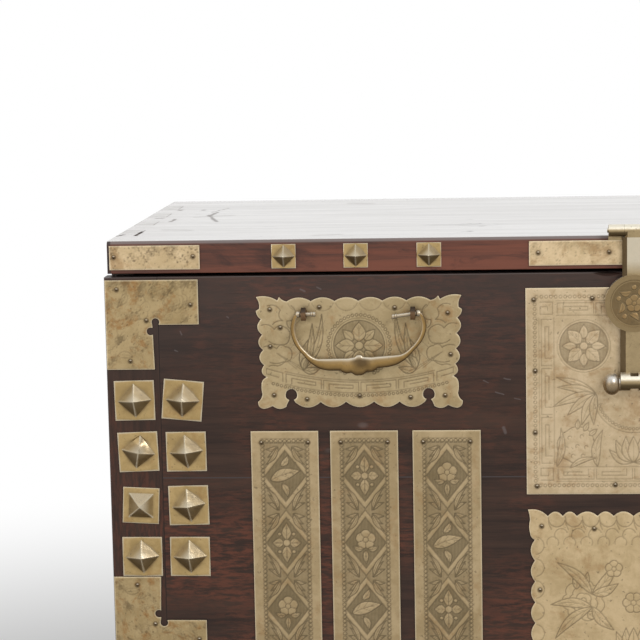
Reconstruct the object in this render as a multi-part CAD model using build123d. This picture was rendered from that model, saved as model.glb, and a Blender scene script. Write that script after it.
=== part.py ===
from build123d import *
import math
import os

# Bandaji: a Korean blanket chest whose upper front drops down on six strap hinges.
# Millimetres.  +Z is up, -Y is the front, +X is the right-hand end of the front.
# The origin lies on the floor, under the middle of the whole chest with its fittings.

# ---- Driving dimensions ------------------------------------------------------------------
WIDTH = 963.0            # over the side boards
DEPTH = 450.0            # from the front face to the back
HEIGHT = 802.0           # to the top surface
STAND_H = 100.0          # the stand that carries the case
TOP_T = 30.0             # thickness of the top board
TOP_ROUND = 4.0          # its worn front and back edges
SIDE_T = 20.0
PANEL_T = 22.0           # door and lower front panel
BACK_T = 14.0
BOTTOM_T = 20.0
STAND_T = 26.0           # ends of the stand
APRON_T = 22.0           # its front apron and back rail

DOOR_OVERHANG = 4.0      # the door stands this far past each side board
DOOR_GAP = 3.5           # under the top board
HINGE_LINE = 399.0       # height of the hinge axis
HINGE_GAP = 1.0          # wood kept back from the hinge axis, above and below
CLEAT_W = 49.5           # breadboard end of the door
DOOR_SEAM = 580.0        # height of the seam between the door's two planks
SCOOP_X = -23.0          # a worn finger scoop in the door's top edge, beside the hasp
SCOOP_W = 29.0
SCOOP_D = 3.4
SCOOP_SLOPE = 16.0       # degrees that its floor falls towards the front
TONGUE_T = 8.0
TONGUE_L = 12.0
SHUT_CLEARANCE = 0.6     # between the shut door and the side boards

END_FINGER = 70.0        # first and last finger of the top board
SIDE_FINGER = 40.0       # fingers of the side boards that pass up through the top
SIDE_FINGERS = 4
FRONT_FINGERS = 5        # fingers down the corner of the lower front panel
BOTTOM_GROOVE = 6.0      # depth of the groove in each side board for the bottom board
BOTTOM_UP = 6.0          # bottom board above the lower edge of the case
BACK_SEAM = 430.0        # height of the half-lapped seam of the back
BACK_LAP = 8.0

STAND_IN = 4.0           # the stand stands this far inside the case all round
FOOT_L = 74.0            # length of a foot at the floor
FOOT_SLOPE = 14.0        # the foot's inner edge leans in this far up to the knee
FOOT_KNEE = 46.0
ARCH_TOP = 62.0          # underside of the end rails
ARCH_RUN = 44.0          # from the foot to the straight part of the arch
ARCH_SWELL = 6.0
APRON_Y = 8.0            # front apron and back rail inside the stand's ends
APRON_FOOT = 24.0        # height of the apron's ends above the floor
APRON_ARCH = 58.0
APRON_DROP = 8.0         # the small pendant in the middle of the apron
BACK_RAIL_UP = 52.0
TENON_L = 12.0
TENON_H = 34.0

SHEET_T = 1.6            # brass sheet
BRASS_EASE = 1.0         # plates are kept this far inside the wood's edge

STRAP_W = 62.5           # hinge straps
STRAP_LEN = 225.0        # from the hinge axis to the free end, each leaf
STRAP_X = (170.8, 247.0, 320.7)
KNUCKLES = 3
BARREL_R = 4.5
BARREL_OUT = 4.8         # hinge axis in front of the face
HINGE_PIN_R = 2.2
PIN_HEAD = 1.2           # a hinge pin shows this much past each end of its barrel
KNUCKLE_GAP = 0.2
RUNNING = 0.08           # radial clearance of a turning fit

CORNER_ARM = 86.6        # L-shaped corner plates, along the top and down the side
CORNER_DROP = 83.4
CORNER_W = 44.6          # width of the part that runs down, and height of the part along the top
CORNER_H = 41.6
CORNER_EASE = 2.4        # from the top of the door to the plate
EYELET_R = 3.6           # round bites in the corner plates

EDGE_PLATE_H = 22.3      # plates on the edge of the top board
EDGE_STRIP_L = 83.8
EDGE_STRIP_EASE = 2.2    # from the end of the top board to the strip
EDGE_DROP = 15.2         # from the top surface to the middle of that row
EDGE_STUD_X = (184.9, 251.8, 318.0)
EDGE_STUD_RISE = 8.0

STUD_PLATE = 37.4        # large square studs
STUD_DIAMOND = 15.6      # half diagonal of the pyramid's foot
STUD_RISE = 10.0
STUD_COLUMNS = (458.0, 413.0)
STUD_TOP_ROW = 653.5
STUD_PITCH = 49.2
STUD_ROWS = 4
STUD_TILTS = ((1.0, 2.0, -2.8, 0.0), (-5.2, 0.5, 1.0, 0.0))   # of the hand-set plates, degrees
STUD_TURNS = ((2.0, -10.0, 0.0, 3.0), (2.0, 4.0, 6.0, 2.0))   # and of the pyramids beaten up in them
STUD_DRIFT = ((1.75, 0.2), (-0.3, 0.9), (-1.3, -0.9), (-1.3, -0.6))   # of each row, outwards and up
BLUNT_TIP = 0.9          # side of each pyramid's worn tip
ODD_STUD = (0, 2)        # column and row of the smaller stud that was set square
ODD_STUD_PLATE = 34.0

HANDLE_X = 250.0
HANDLE_PLATE_Z = 697.0
PIVOT_Z = 734.0
PIVOT_HALF = 50.0        # from the middle of a handle to the middle of its eye
PIVOT_OUT = 9.0
SIDE_HANDLE_Z = 640.0
EYE_R = 6.0
EYE_W = 4.4
ROD_R = 2.6
BAIL_T = 4.6
BAIL_ARM_X = 55.8        # from the middle of a handle to each of its arms
ROD_TIP_X = 37.5         # and to the inner end of each rod
COLLAR_R = 3.6
COLLAR_W = 5.0
WASHER = 15.0            # square washer under a clinched shank
ROSETTE_R = 13.0         # under the eyes of the side handles
POST_HALF = 2.6          # half the side of a post's square shank

KEYHOLE_X = 63.4         # two keyholes pierced low in the handle plate
KEYHOLE_Z = -38.8
KEYHOLE_R = 5.3
KEYHOLE_MOUTH = (1.8, 5.4)   # half widths of its slot, at the hole and past the plate's edge
LOCK_W = 195.0
LOCK_TOP = 755.0
LOCK_BOTTOM = 563.6
CENTRE_PLATE_TOP = 548.8
CENTRE_SCALLOPS = (18.2, 32.8, 51.8, 64.7, 78.4)   # valleys of its upper edge, from the middle

HASP_AXIS_UP = 5.2       # hasp hinge axis over the top surface
HASP_BARREL_R = 5.5
HASP_PIN_R = 2.0
HASP_KNUCKLE = 8.55      # half length of the middle knuckle
HASP_LEAF_W = 45.0       # over the fixed knuckles
CENTRE_STRIP_L = 188.0
HASP_SHAFT_T = 5.0
HASP_BACK = 8.5          # half width of the shaft behind its bevels
HASP_FLAT = 5.7          # half width of its front face
DISC_DROP = 60.6         # below the top surface
DISC_R = 26.2
DISC_FACE_R = 21.8
SHAFT_BEVEL = 1.0        # straight part of the shaft's edge behind each bevel
BOSS_LIP = 0.8           # how far the boss's rim stands over its sunk face
BAR_R = 8.3              # rolled lower end of the hasp
BAR_HALF = 12.4
BAR_DROP = 132.0
BAR_OUT = 11.0
PIN_DROP = 134.0
PIN_OUT = 12.0
PIN_R = 3.0
PIN_TAIL = 14.0
KNOB_R = 9.8
KNOB_L = 15.3
STAPLE_HALF = 3.2
STAPLE_R = 4.6
STAPLE_ROOM = 0.5        # around the staple in the hasp's rolled end

# ---- Worked out from the above -----------------------------------------------------------
REACH = PIN_OUT + KNOB_R                 # foremost point of the fittings
FACE_Y = (REACH - DEPTH) / 2             # front face of the wood
HALF = WIDTH / 2
INNER = HALF - SIDE_T
DOOR_HALF = HALF + DOOR_OVERHANG
CASE_TOP = HEIGHT - TOP_T
DOOR_TOP = CASE_TOP - DOOR_GAP
DOOR_BOTTOM = HINGE_LINE + HINGE_GAP
PANEL_TOP = HINGE_LINE - HINGE_GAP
BACK_Y = DEPTH - BACK_T
LIGHT_EDGE = 1.0
SOFT_EDGE = 2.5
BOTTOM_Z = (STAND_H + BOTTOM_UP, STAND_H + BOTTOM_UP + BOTTOM_T)
STAND_INNER = HALF - STAND_IN - STAND_T
HASP_AXIS_Z = HEIGHT + HASP_AXIS_UP
PIN_Z = HEIGHT - PIN_DROP
BAR_Z = HEIGHT - BAR_DROP
EDGE_BOTTOM = HEIGHT - EDGE_DROP - EDGE_PLATE_H / 2
EDGE_TOP = EDGE_BOTTOM + EDGE_PLATE_H


# ---- Small helpers -----------------------------------------------------------------------
def block(x, y, z):
    """A box between pairs of limits; y is counted back from the front face."""
    middle = (sum(x) / 2, FACE_Y + sum(y) / 2, sum(z) / 2)
    return Pos(*middle) * Box(x[1] - x[0], y[1] - y[0], z[1] - z[0])


def rod_x(x, out, z, radius):
    """A round bar along X, its axis this far out from the front face."""
    middle = ((x[0] + x[1]) / 2, FACE_Y - out, z)
    return Pos(*middle) * Rot(0, 90, 0) * Cylinder(radius, x[1] - x[0])


def front(x, z):
    """A work plane on the front face: x to the right, y up, z out of the wood."""
    return Plane(origin=(x, FACE_Y, z), x_dir=(1, 0, 0), z_dir=(0, -1, 0))


def end_face(sign, z):
    """The same on the middle of a side board."""
    return Plane(origin=(sign * HALF, FACE_Y + DEPTH / 2, z), x_dir=(0, sign, 0), z_dir=(sign, 0, 0))


def flipped(shape):
    """The piece for the other end of the chest."""
    return mirror(shape, about=Plane.YZ)


def group(shapes):
    """Separate like solids kept as one node."""
    return Compound(children=list(shapes))


def run(a, b, bulge):
    """One stretch of an outline walked anticlockwise; a positive bulge swells outwards."""
    if not bulge:
        return Line(a, b)
    dx, dy = b[0] - a[0], b[1] - a[1]
    length = math.hypot(dx, dy)
    crown = ((a[0] + b[0]) / 2 + bulge * dy / length, (a[1] + b[1]) / 2 - bulge * dx / length)
    return ThreePointArc(a, crown, b)


def outline(points):
    """A face whose points are (x, y, bulge of the run that leads to the point)."""
    edges = []
    for here, after in zip(points, points[1:] + points[:1]):
        edges.append(run(here[:2], after[:2], after[2]))
    return make_face(edges)


def even_outline(left, top_bulge=0.0, bottom_bulge=0.0):
    """A face from its left half, walked down from the top, and that half's mirror image."""
    half = [run(here[:2], after[:2], after[2]) for here, after in zip(left, left[1:])]
    edges = half + [flipped(edge) for edge in half]
    for (x, y, _), bulge in ((left[0], top_bulge), (left[-1], bottom_bulge)):
        if x:
            edges.append(run((x, y), (-x, y), bulge))
    return make_face(edges)


def lobes(start, end, count, bulge):
    """Points of a row of equal scallops from start, left out, to end."""
    step = [(end[0] - start[0]) / count, (end[1] - start[1]) / count]
    return [(start[0] + step[0] * k, start[1] + step[1] * k, bulge) for k in range(1, count + 1)]


# ---- Case --------------------------------------------------------------------------------
def side_finger_limits():
    """Front and back of each side-board finger in the top board."""
    gap = (DEPTH - 2 * END_FINGER - SIDE_FINGERS * SIDE_FINGER) / (SIDE_FINGERS - 1)
    starts = [END_FINGER + k * (SIDE_FINGER + gap) for k in range(SIDE_FINGERS)]
    return [(y, y + SIDE_FINGER) for y in starts]


def top_board():
    board = block((-HALF, HALF), (0, DEPTH), (CASE_TOP, HEIGHT))
    board = fillet(board.edges().filter_by(Axis.X).group_by(Axis.Z)[-1], TOP_ROUND)
    board = fillet(board.edges().filter_by(Axis.X).group_by(Axis.Z)[0], LIGHT_EDGE)
    for limits in side_finger_limits():
        slot = block((INNER, HALF + 1), limits, (CASE_TOP - 1, HEIGHT + 1))
        board = board - slot - flipped(slot)
    return board


def front_finger_limits():
    """Heights of the fingers down each end of the lower front panel, from the top."""
    step = (PANEL_TOP - STAND_H) / FRONT_FINGERS
    return [(PANEL_TOP - (k + 1) * step, PANEL_TOP - k * step) for k in range(FRONT_FINGERS)]


def side_board():
    """The right-hand side; its upper front edge is set back for the door."""
    board = block((INNER, HALF), (PANEL_T, DEPTH), (STAND_H, CASE_TOP))
    board -= block((INNER, HALF), (PANEL_T, PANEL_T + SHUT_CLEARANCE), (PANEL_TOP, CASE_TOP))
    board -= block((INNER, INNER + BOTTOM_GROOVE), (PANEL_T, BACK_Y), BOTTOM_Z)
    for limits in side_finger_limits():
        board += block((INNER, HALF), limits, (CASE_TOP, HEIGHT))
    for limits in front_finger_limits()[1::2]:
        board += block((INNER, HALF), (0, PANEL_T), limits)
    return board


def lower_front_panel():
    panel = block((-HALF, HALF), (0, PANEL_T), (STAND_H, PANEL_TOP))
    panel = fillet(panel.edges().filter_by(Axis.X).group_by(Axis.Y)[0], LIGHT_EDGE)
    for limits in front_finger_limits()[1::2]:
        slot = block((INNER, HALF), (0, PANEL_T), limits)
        panel = panel - slot - flipped(slot)
    return panel


def back_plank(z, lap_above):
    """One back plank, half-lapped on the other at their seam."""
    plank = block((-INNER, INNER), (BACK_Y, DEPTH), z)
    seam = (BACK_SEAM, BACK_SEAM + BACK_LAP)
    if lap_above:
        return plank + block((-INNER, INNER), (BACK_Y, BACK_Y + BACK_T / 2), seam)
    return plank - block((-INNER, INNER), (BACK_Y, BACK_Y + BACK_T / 2), seam)


def stand_side():
    """The right-hand end of the stand: two feet under one arched rail."""
    middle = DEPTH / 2 - STAND_IN
    foot = middle - FOOT_L
    left = [(0, STAND_H, 0), (-middle, STAND_H, 0), (-middle, 0, 0), (-foot, 0, 0),
            (-foot + FOOT_SLOPE, FOOT_KNEE, -ARCH_SWELL), (-foot + ARCH_RUN, ARCH_TOP, ARCH_SWELL),
            (0, ARCH_TOP, 0)]
    plane = Plane(origin=(STAND_INNER, FACE_Y + DEPTH / 2, 0), x_dir=(0, 1, 0), z_dir=(1, 0, 0))
    end = extrude(plane * even_outline(left), STAND_T)
    for start in (APRON_Y, DEPTH - APRON_Y - APRON_T):
        end -= tenon((start, start + APRON_T))
    return end


def tenon(y):
    """The tenon at the right-hand end of a rail, or its mortise."""
    return block((STAND_INNER, STAND_INNER + TENON_L), y, (STAND_H - TENON_H, STAND_H))


def stand_rail(y, lower_edge):
    """A rail between the stand's ends; lower_edge is its left half from the end inwards."""
    left = [(0, STAND_H, 0), (-STAND_INNER, STAND_H, 0)] + lower_edge
    plane = Plane(origin=(0, FACE_Y + y, 0), x_dir=(1, 0, 0), z_dir=(0, -1, 0))
    rail = extrude(plane * even_outline(left), -APRON_T)
    right = tenon((y, y + APRON_T))
    return rail + right + flipped(right)


def back_rail_edge():
    return [(-STAND_INNER, BACK_RAIL_UP, 0), (0, BACK_RAIL_UP, 0)]


def apron_edge():
    """Lower edge of the front apron: a stepped arch with a small pendant in the middle."""
    return [(-STAND_INNER, APRON_FOOT, 0), (-STAND_INNER + 34, APRON_FOOT, 0),
            (-STAND_INNER + 62, FOOT_KNEE, -ARCH_SWELL), (-STAND_INNER + 96, APRON_ARCH, ARCH_SWELL),
            (-46, APRON_ARCH, 0), (0, APRON_ARCH - APRON_DROP, -2.5)]


# ---- Door --------------------------------------------------------------------------------
def door_plank(z):
    """A plank of the door with a tongue at each end for the cleats."""
    end = DOOR_HALF - CLEAT_W
    plank = block((-end, end), (0, PANEL_T), z)
    shoulder = (PANEL_T - TONGUE_T) / 2
    tongue = block((end, end + TONGUE_L), (shoulder, shoulder + TONGUE_T), z)
    return plank + tongue + flipped(tongue)


def finger_scoop():
    """What wear has taken out of the door's top edge: part of a cylinder that dips to the front."""
    radius = (SCOOP_W ** 2 / 4 + SCOOP_D ** 2) / (2 * SCOOP_D)
    rise = radius / math.cos(math.radians(SCOOP_SLOPE)) - SCOOP_D
    return Pos(SCOOP_X, FACE_Y, DOOR_TOP + rise) * Rot(SCOOP_SLOPE - 90, 0, 0) * Cylinder(radius, 3 * PANEL_T)


def door_cleat():
    """The right-hand breadboard end, grooved for the tongues."""
    end = DOOR_HALF - CLEAT_W
    shoulder = (PANEL_T - TONGUE_T) / 2
    cleat = block((end, DOOR_HALF), (0, PANEL_T), (DOOR_BOTTOM, DOOR_TOP))
    cleat = fillet(cleat.edges().filter_by(Axis.Z).group_by(Axis.X)[-1], SOFT_EDGE)
    groove = (shoulder, shoulder + TONGUE_T)
    return cleat - block((end, end + TONGUE_L), groove, (DOOR_BOTTOM, DOOR_TOP))


# ---- Sheet brass -------------------------------------------------------------------------
def sheet(face, x, z):
    """Brass sheet cut to a face and laid on the front."""
    return extrude(front(x, z) * face, SHEET_T)


def corner_plate():
    """The upper right corner of the door: an L with two round bites at its inner corner."""
    arm, drop, width, height = CORNER_ARM, CORNER_DROP, CORNER_W, CORNER_H
    face = outline([(0, 0, 0), (-arm, 0, 0), (-arm, -height, 0),
                    (-width, -height, 0), (-width, -drop, 0), (0, -drop, 0)])
    face -= Pos(-width - 1.8, -height + 2.4) * Circle(EYELET_R)
    face -= Pos(-width + 3.0, -height - 6.2) * Circle(EYELET_R)
    return sheet(face, DOOR_HALF - BRASS_EASE, DOOR_TOP - CORNER_EASE)


def handle_plate_face():
    """The scalloped escutcheon: six scallops above, four lobes at each side, five below."""
    left = [(0, 46.6, 0)]
    left += lobes((0, 46.6), (-65.9, 46.8), 3, 3.4)
    left += [(-73.0, 51.0, -1.0), (-74.6, 47.4, 0), (-94.4, 50.8, 2.2), (-91.2, 40.2, -1.2)]
    left += [(-94.4, 38.4, 0), (-88.8, 31.2, 1.2)]
    left += lobes((-88.8, 31.2), (-86.4, -11.2), 3, 3.6)
    left += [(-83.8, -22.6, 3.0), (-88.8, -27.4, 1.0), (-88.8, -39.0, 0.5), (-94.0, -47.0, -1.0)]
    left += [(-89.0, -52.4, 2.0), (-81.4, -49.8, 0.4), (-67.4, -50.4, 2.0), (-59.6, -45.8, 0)]
    left += lobes((-59.6, -45.8), (-12.9, -45.8), 2, 5.0)
    face = even_outline(left, bottom_bulge=5.0)
    neck, mouth = KEYHOLE_MOUTH
    slot = [(neck, 0, 0), (-neck, 0, 0), (-mouth, -3 * KEYHOLE_R, 0), (mouth, -3 * KEYHOLE_R, 0)]
    for sign in (-1, 1):
        face -= Pos(sign * KEYHOLE_X, KEYHOLE_Z) * (Circle(KEYHOLE_R) + outline(slot))
    return face


def centre_plate():
    """The upper half of the cloud-edged plate across the hinge line."""
    drop = CENTRE_PLATE_TOP - DOOR_BOTTOM - BRASS_EASE
    left = [(0, -6.3, 0)] + [(-x, -6.3, 4.3) for x in CENTRE_SCALLOPS]
    left += [(-96.6, 0, 2.6), (-94.8, -10.0, -0.4), (-94.8, -22.0, 0.8), (-90.4, -28.5, 1.2)]
    left += lobes((-90.4, -28.5), (-90.4, -drop), 6, 3.9)
    return sheet(even_outline(left), 0, CENTRE_PLATE_TOP)


def pyramid_stud(plane, plate, foot, rise, turn=45.0, tilt=0.0):
    """A square plate with a four-sided pyramid, its foot turned on the plate, beaten up from it."""
    base = extrude(plane * (Rot(0, 0, tilt) * Rectangle(plate, plate)), SHEET_T)
    ends = [plane.offset(height) * (Rot(0, 0, tilt + turn) * Rectangle(side, side))
            for height, side in ((SHEET_T, foot), (SHEET_T + rise, BLUNT_TIP))]
    return base + loft(ends, ruled=True)


def edge_studs():
    """Six small studs on the edge of the top board."""
    foot = EDGE_PLATE_H / math.sqrt(2) - LIGHT_EDGE
    places = [sign * x for x in EDGE_STUD_X for sign in (-1, 1)]
    return group(pyramid_stud(front(x, HEIGHT - EDGE_DROP), EDGE_PLATE_H, foot, EDGE_STUD_RISE)
                 for x in places)


def door_studs(sign):
    """Two columns of large studs at one end of the door."""
    studs = []
    for column, x in enumerate(STUD_COLUMNS):
        for row in range(STUD_ROWS):
            odd = sign < 0 and (column, row) == ODD_STUD
            plate = ODD_STUD_PLATE if odd else STUD_PLATE
            outwards, up = STUD_DRIFT[row]
            plane = front(sign * (x + outwards), STUD_TOP_ROW - row * STUD_PITCH + up)
            foot = STUD_DIAMOND * math.sqrt(2)
            turn = 0.0 if odd else 45.0 - sign * STUD_TURNS[column][row]
            tilt = -sign * STUD_TILTS[column][row]
            studs.append(pyramid_stud(plane, plate, foot, STUD_RISE, turn, tilt))
    return group(studs)


# ---- Strap hinges ------------------------------------------------------------------------
def strap_leaf(x, up, knuckles, bore):
    """One leaf: a strap from the free end to the barrel, and its share of the knuckles."""
    near = HINGE_LINE + up * (BARREL_R + 1.0)
    far = HINGE_LINE + up * STRAP_LEN
    edges = (x - STRAP_W / 2, x + STRAP_W / 2)
    leaf = block(edges, (-SHEET_T, 0), sorted((near, far)))
    pitch = STRAP_W / KNUCKLES
    for k in knuckles:
        ends = (edges[0] + k * pitch + KNUCKLE_GAP / 2, edges[0] + (k + 1) * pitch - KNUCKLE_GAP / 2)
        leaf += rod_x(ends, BARREL_OUT, HINGE_LINE, BARREL_R)
        leaf += block(ends, (-SHEET_T, 0), sorted((HINGE_LINE, near)))
    return leaf - rod_x((edges[0] - 1, edges[1] + 1), BARREL_OUT, HINGE_LINE, bore)


def hinge_pins(centres):
    """The pins of all six hinges, each a little longer than its barrel."""
    half = STRAP_W / 2 + PIN_HEAD
    return group(rod_x((x - half, x + half), BARREL_OUT, HINGE_LINE, HINGE_PIN_R) for x in centres)


# ---- Handles -----------------------------------------------------------------------------
def bail(plane):
    """A hanging handle: thin hooked arms into a flat band with a cusped middle."""
    arm = BAIL_ARM_X
    left = [
        (-37.0, -39.4, 0), (-48.0, -32.6, -1.2), (-57.4, -13.7, -2.2), (-arm + 3.0, 0, -1.2),
        (-arm - 1.4, 2.2, 0), (-62.0, -13.7, 1.6), (-50.7, -35.6, 2.6), (-35.6, -49.8, 1.6),
        (-17.0, -51.8, 0.2), (-8.6, -53.0, 1.5),
    ]
    band = even_outline(left, top_bulge=1.6, bottom_bulge=3.2)
    loop = extrude(plane.offset(PIVOT_OUT - BAIL_T / 2) * band, BAIL_T)
    turned = ((ROD_TIP_X, arm, ROD_R), (arm - COLLAR_W / 2, arm + COLLAR_W / 2, COLLAR_R))
    for inner, outer, radius in turned:
        piece = Pos((inner + outer) / 2, 0, PIVOT_OUT) * Rot(0, 90, 0) * Cylinder(radius, outer - inner)
        loop += [plane.location * piece, plane.location * flipped(piece)]
    return loop


def handle_posts(plane, wood, rosette=0.0):
    """Two eyes on square shanks that pass through the wood and are clinched on a washer inside."""
    bore = Pos(0, 0, PIVOT_OUT) * Rot(0, 90, 0) * Cylinder(ROD_R + RUNNING, 2 * EYE_W)
    eye = Pos(0, 0, PIVOT_OUT) * Rot(0, 90, 0) * Cylinder(EYE_R, EYE_W)
    length = PIVOT_OUT + wood
    shank = Pos(0, 0, PIVOT_OUT - length / 2) * Box(2 * POST_HALF, 2 * POST_HALF, length)
    washer = Pos(0, 0, -wood - SHEET_T / 2) * Box(WASHER, WASHER, SHEET_T)
    post = eye + shank + washer
    if rosette:
        post += extrude(RegularPolygon(rosette, 8), SHEET_T)
    post -= bore
    return group(plane.location * (Pos(sign * PIVOT_HALF, 0, 0) * post) for sign in (-1, 1))


def post_holes(plane, wood):
    """What the shanks take out of the board behind."""
    hole = Box(2 * POST_HALF, 2 * POST_HALF, 2 * (wood + SHEET_T))
    return [plane.location * (Pos(sign * PIVOT_HALF, 0, 0) * hole) for sign in (-1, 1)]


# ---- Hasp and lock -----------------------------------------------------------------------
def hasp_strip():
    """The strip on the edge of the top board, with the two fixed knuckles of the hasp."""
    strip = block((-CENTRE_STRIP_L / 2, CENTRE_STRIP_L / 2), (-SHEET_T, 0), (EDGE_BOTTOM, EDGE_TOP))
    ends = (HASP_KNUCKLE + KNUCKLE_GAP, HASP_LEAF_W / 2)
    ear = block(ends, (-SHEET_T, 0), (EDGE_TOP, HASP_AXIS_Z))
    ear += rod_x(ends, HASP_BARREL_R, HASP_AXIS_Z, HASP_BARREL_R)
    strip = strip + ear + flipped(ear)
    return strip - rod_x((-HASP_LEAF_W, HASP_LEAF_W), HASP_BARREL_R, HASP_AXIS_Z, HASP_PIN_R)


def hasp():
    """Knuckle, bevelled shaft, round boss and the rolled end that the lock pin runs in."""
    front_out = 2 * HASP_BARREL_R
    back_out = front_out - HASP_SHAFT_T
    section = [(0, -back_out, 0), (-HASP_BACK, -back_out, 0), (-HASP_BACK, -back_out - SHAFT_BEVEL, 0),
               (-HASP_FLAT, -front_out, 0), (0, -front_out, 0)]
    shaft = extrude(Pos(0, FACE_Y, BAR_Z) * even_outline(section), HASP_AXIS_Z - BAR_Z)
    plane = front(0, HEIGHT - DISC_DROP)
    boss = extrude(plane.offset(back_out + 1.0) * Circle(DISC_R), HASP_SHAFT_T + 0.6)
    boss -= extrude(plane.offset(front_out + BOSS_LIP) * Circle(DISC_FACE_R), BOSS_LIP)
    body = shaft + boss + rod_x((-HASP_KNUCKLE, HASP_KNUCKLE), HASP_BARREL_R, HASP_AXIS_Z, HASP_BARREL_R)
    body += rod_x((-BAR_HALF, BAR_HALF), BAR_OUT, BAR_Z, BAR_R)
    body -= rod_x((-HASP_LEAF_W, HASP_LEAF_W), HASP_BARREL_R, HASP_AXIS_Z, HASP_PIN_R + RUNNING)
    body -= rod_x((-2 * BAR_HALF, 2 * BAR_HALF), PIN_OUT, PIN_Z, PIN_R + RUNNING)
    half = STAPLE_HALF + STAPLE_ROOM
    notch = (-PIN_OUT - STAPLE_R - STAPLE_ROOM, 0)
    return body - block((-half, half), notch, (BAR_Z - 2 * BAR_R, BAR_Z + BAR_R))


def lock_pin():
    """A plain pin with a turned knob, a ball cut flat at its shoulder, at its left end."""
    start = -BAR_HALF - KNUCKLE_GAP
    ball = [(0, 0.80), (-0.20, 0.96), (-0.50, 1.0), (-0.75, 0.88), (-0.94, 0.55), (-1.0, 0)]
    rim = [(start + x * KNOB_L, radius * KNOB_R, 0) for x, radius in ball]
    knob = Pos(0, FACE_Y - PIN_OUT, PIN_Z) * revolve(outline([(start, 0, 0)] + rim), Axis.X)
    return knob + rod_x((start - KNOB_L / 2, PIN_TAIL), PIN_OUT, PIN_Z, PIN_R)


def staple_shank():
    """The square shank of the staple, from the lock plate to the inside of the door."""
    return block((-STAPLE_HALF, STAPLE_HALF), (-SHEET_T, PANEL_T), (PIN_Z - STAPLE_HALF, PIN_Z + STAPLE_HALF))


def lock_staple():
    """A flat eye that stands out of the lock plate and takes the pin."""
    eye = rod_x((-STAPLE_HALF, STAPLE_HALF), PIN_OUT, PIN_Z, STAPLE_R)
    eye += block((-STAPLE_HALF, STAPLE_HALF), (-PIN_OUT, -SHEET_T), (PIN_Z - STAPLE_R, PIN_Z + STAPLE_R))
    eye -= rod_x((-STAPLE_HALF, STAPLE_HALF), PIN_OUT, PIN_Z, PIN_R + 3 * RUNNING)
    reach = WASHER / 2
    clinch = block((-reach, reach), (PANEL_T, PANEL_T + SHEET_T), (PIN_Z - reach, PIN_Z + reach))
    return eye + staple_shank() + clinch


# ---- All nodes ---------------------------------------------------------------------------
def case_nodes():
    side = side_board()
    side_plane = {sign: end_face(sign, SIDE_HANDLE_Z) for sign in (-1, 1)}
    half_pin = HASP_LEAF_W / 2 + PIN_HEAD
    nodes = {
        "top_board": top_board(),
        "side_board_right": side - post_holes(side_plane[1], SIDE_T),
        "side_board_left": flipped(side) - post_holes(side_plane[-1], SIDE_T),
        "lower_front_panel": lower_front_panel(),
        "back_plank_upper": back_plank((BACK_SEAM + BACK_LAP, CASE_TOP), True),
        "back_plank_lower": back_plank((STAND_H, BACK_SEAM + BACK_LAP), False),
        "bottom_board": block((-INNER - BOTTOM_GROOVE, INNER + BOTTOM_GROOVE), (PANEL_T, BACK_Y), BOTTOM_Z),
        "stand_front_apron": stand_rail(APRON_Y, apron_edge()),
        "stand_back_rail": stand_rail(DEPTH - APRON_Y - APRON_T, back_rail_edge()),
        "stand_side_right": stand_side(),
        "stand_side_left": flipped(stand_side()),
        "top_edge_studs": edge_studs(),
        "hasp_strip": hasp_strip(),
        "hasp_hinge_pin": rod_x((-half_pin, half_pin), HASP_BARREL_R, HASP_AXIS_Z, HASP_PIN_R),
    }
    end = HALF - EDGE_STRIP_EASE
    strip = block((end - EDGE_STRIP_L, end), (-SHEET_T, 0), (EDGE_BOTTOM, EDGE_TOP))
    nodes["top_edge_strip_right"] = strip
    nodes["top_edge_strip_left"] = flipped(strip)
    for sign, name in ((-1, "left"), (1, "right")):
        plane = side_plane[sign]
        nodes[f"side_handle_posts_{name}"] = handle_posts(plane, SIDE_T, ROSETTE_R)
        nodes[f"side_bail_{name}"] = bail(plane)
    return nodes


def door_nodes():
    lock_face = Pos(0, (LOCK_TOP + LOCK_BOTTOM) / 2 - PIN_Z) * Rectangle(LOCK_W, LOCK_TOP - LOCK_BOTTOM)
    shank = staple_shank()
    upper = door_plank((DOOR_SEAM, DOOR_TOP)) - shank - finger_scoop()
    plate_face = handle_plate_face()
    nodes = {
        "door_plank_lower": door_plank((DOOR_BOTTOM, DOOR_SEAM)),
        "door_cleat_right": door_cleat(),
        "door_cleat_left": flipped(door_cleat()),
        "lock_plate": sheet(lock_face, 0, PIN_Z) - shank,
        "lock_staple": lock_staple(),
        "door_centre_plate": centre_plate(),
    }
    for sign, name in ((-1, "left"), (1, "right")):
        plane = front(sign * HANDLE_X, PIVOT_Z)
        holes = post_holes(plane, PANEL_T)
        upper -= holes
        nodes[f"handle_plate_{name}"] = sheet(plate_face, sign * HANDLE_X, HANDLE_PLATE_Z) - holes
        nodes[f"handle_posts_{name}"] = handle_posts(plane, PANEL_T)
        nodes[f"door_bail_{name}"] = bail(plane)
        nodes[f"door_studs_{name}"] = door_studs(sign)
    nodes["door_plank_upper"] = upper
    corner = corner_plate()
    lower_corner = mirror(corner, about=Plane.XY.offset((DOOR_TOP + DOOR_BOTTOM) / 2))
    nodes["corner_plate_upper_right"] = corner
    nodes["corner_plate_upper_left"] = flipped(corner)
    nodes["corner_plate_lower_right"] = lower_corner
    nodes["corner_plate_lower_left"] = flipped(lower_corner)
    return nodes


def hinge_nodes():
    centres = sorted([-x for x in STRAP_X] + list(STRAP_X))
    nodes = {"hinge_pins": hinge_pins(centres)}
    for number, x in enumerate(centres, 1):
        nodes[f"hinge_upper_leaf_{number}"] = strap_leaf(x, 1, (1,), HINGE_PIN_R + RUNNING)
        nodes[f"hinge_lower_leaf_{number}"] = strap_leaf(x, -1, (0, 2), HINGE_PIN_R)
    return nodes


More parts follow.
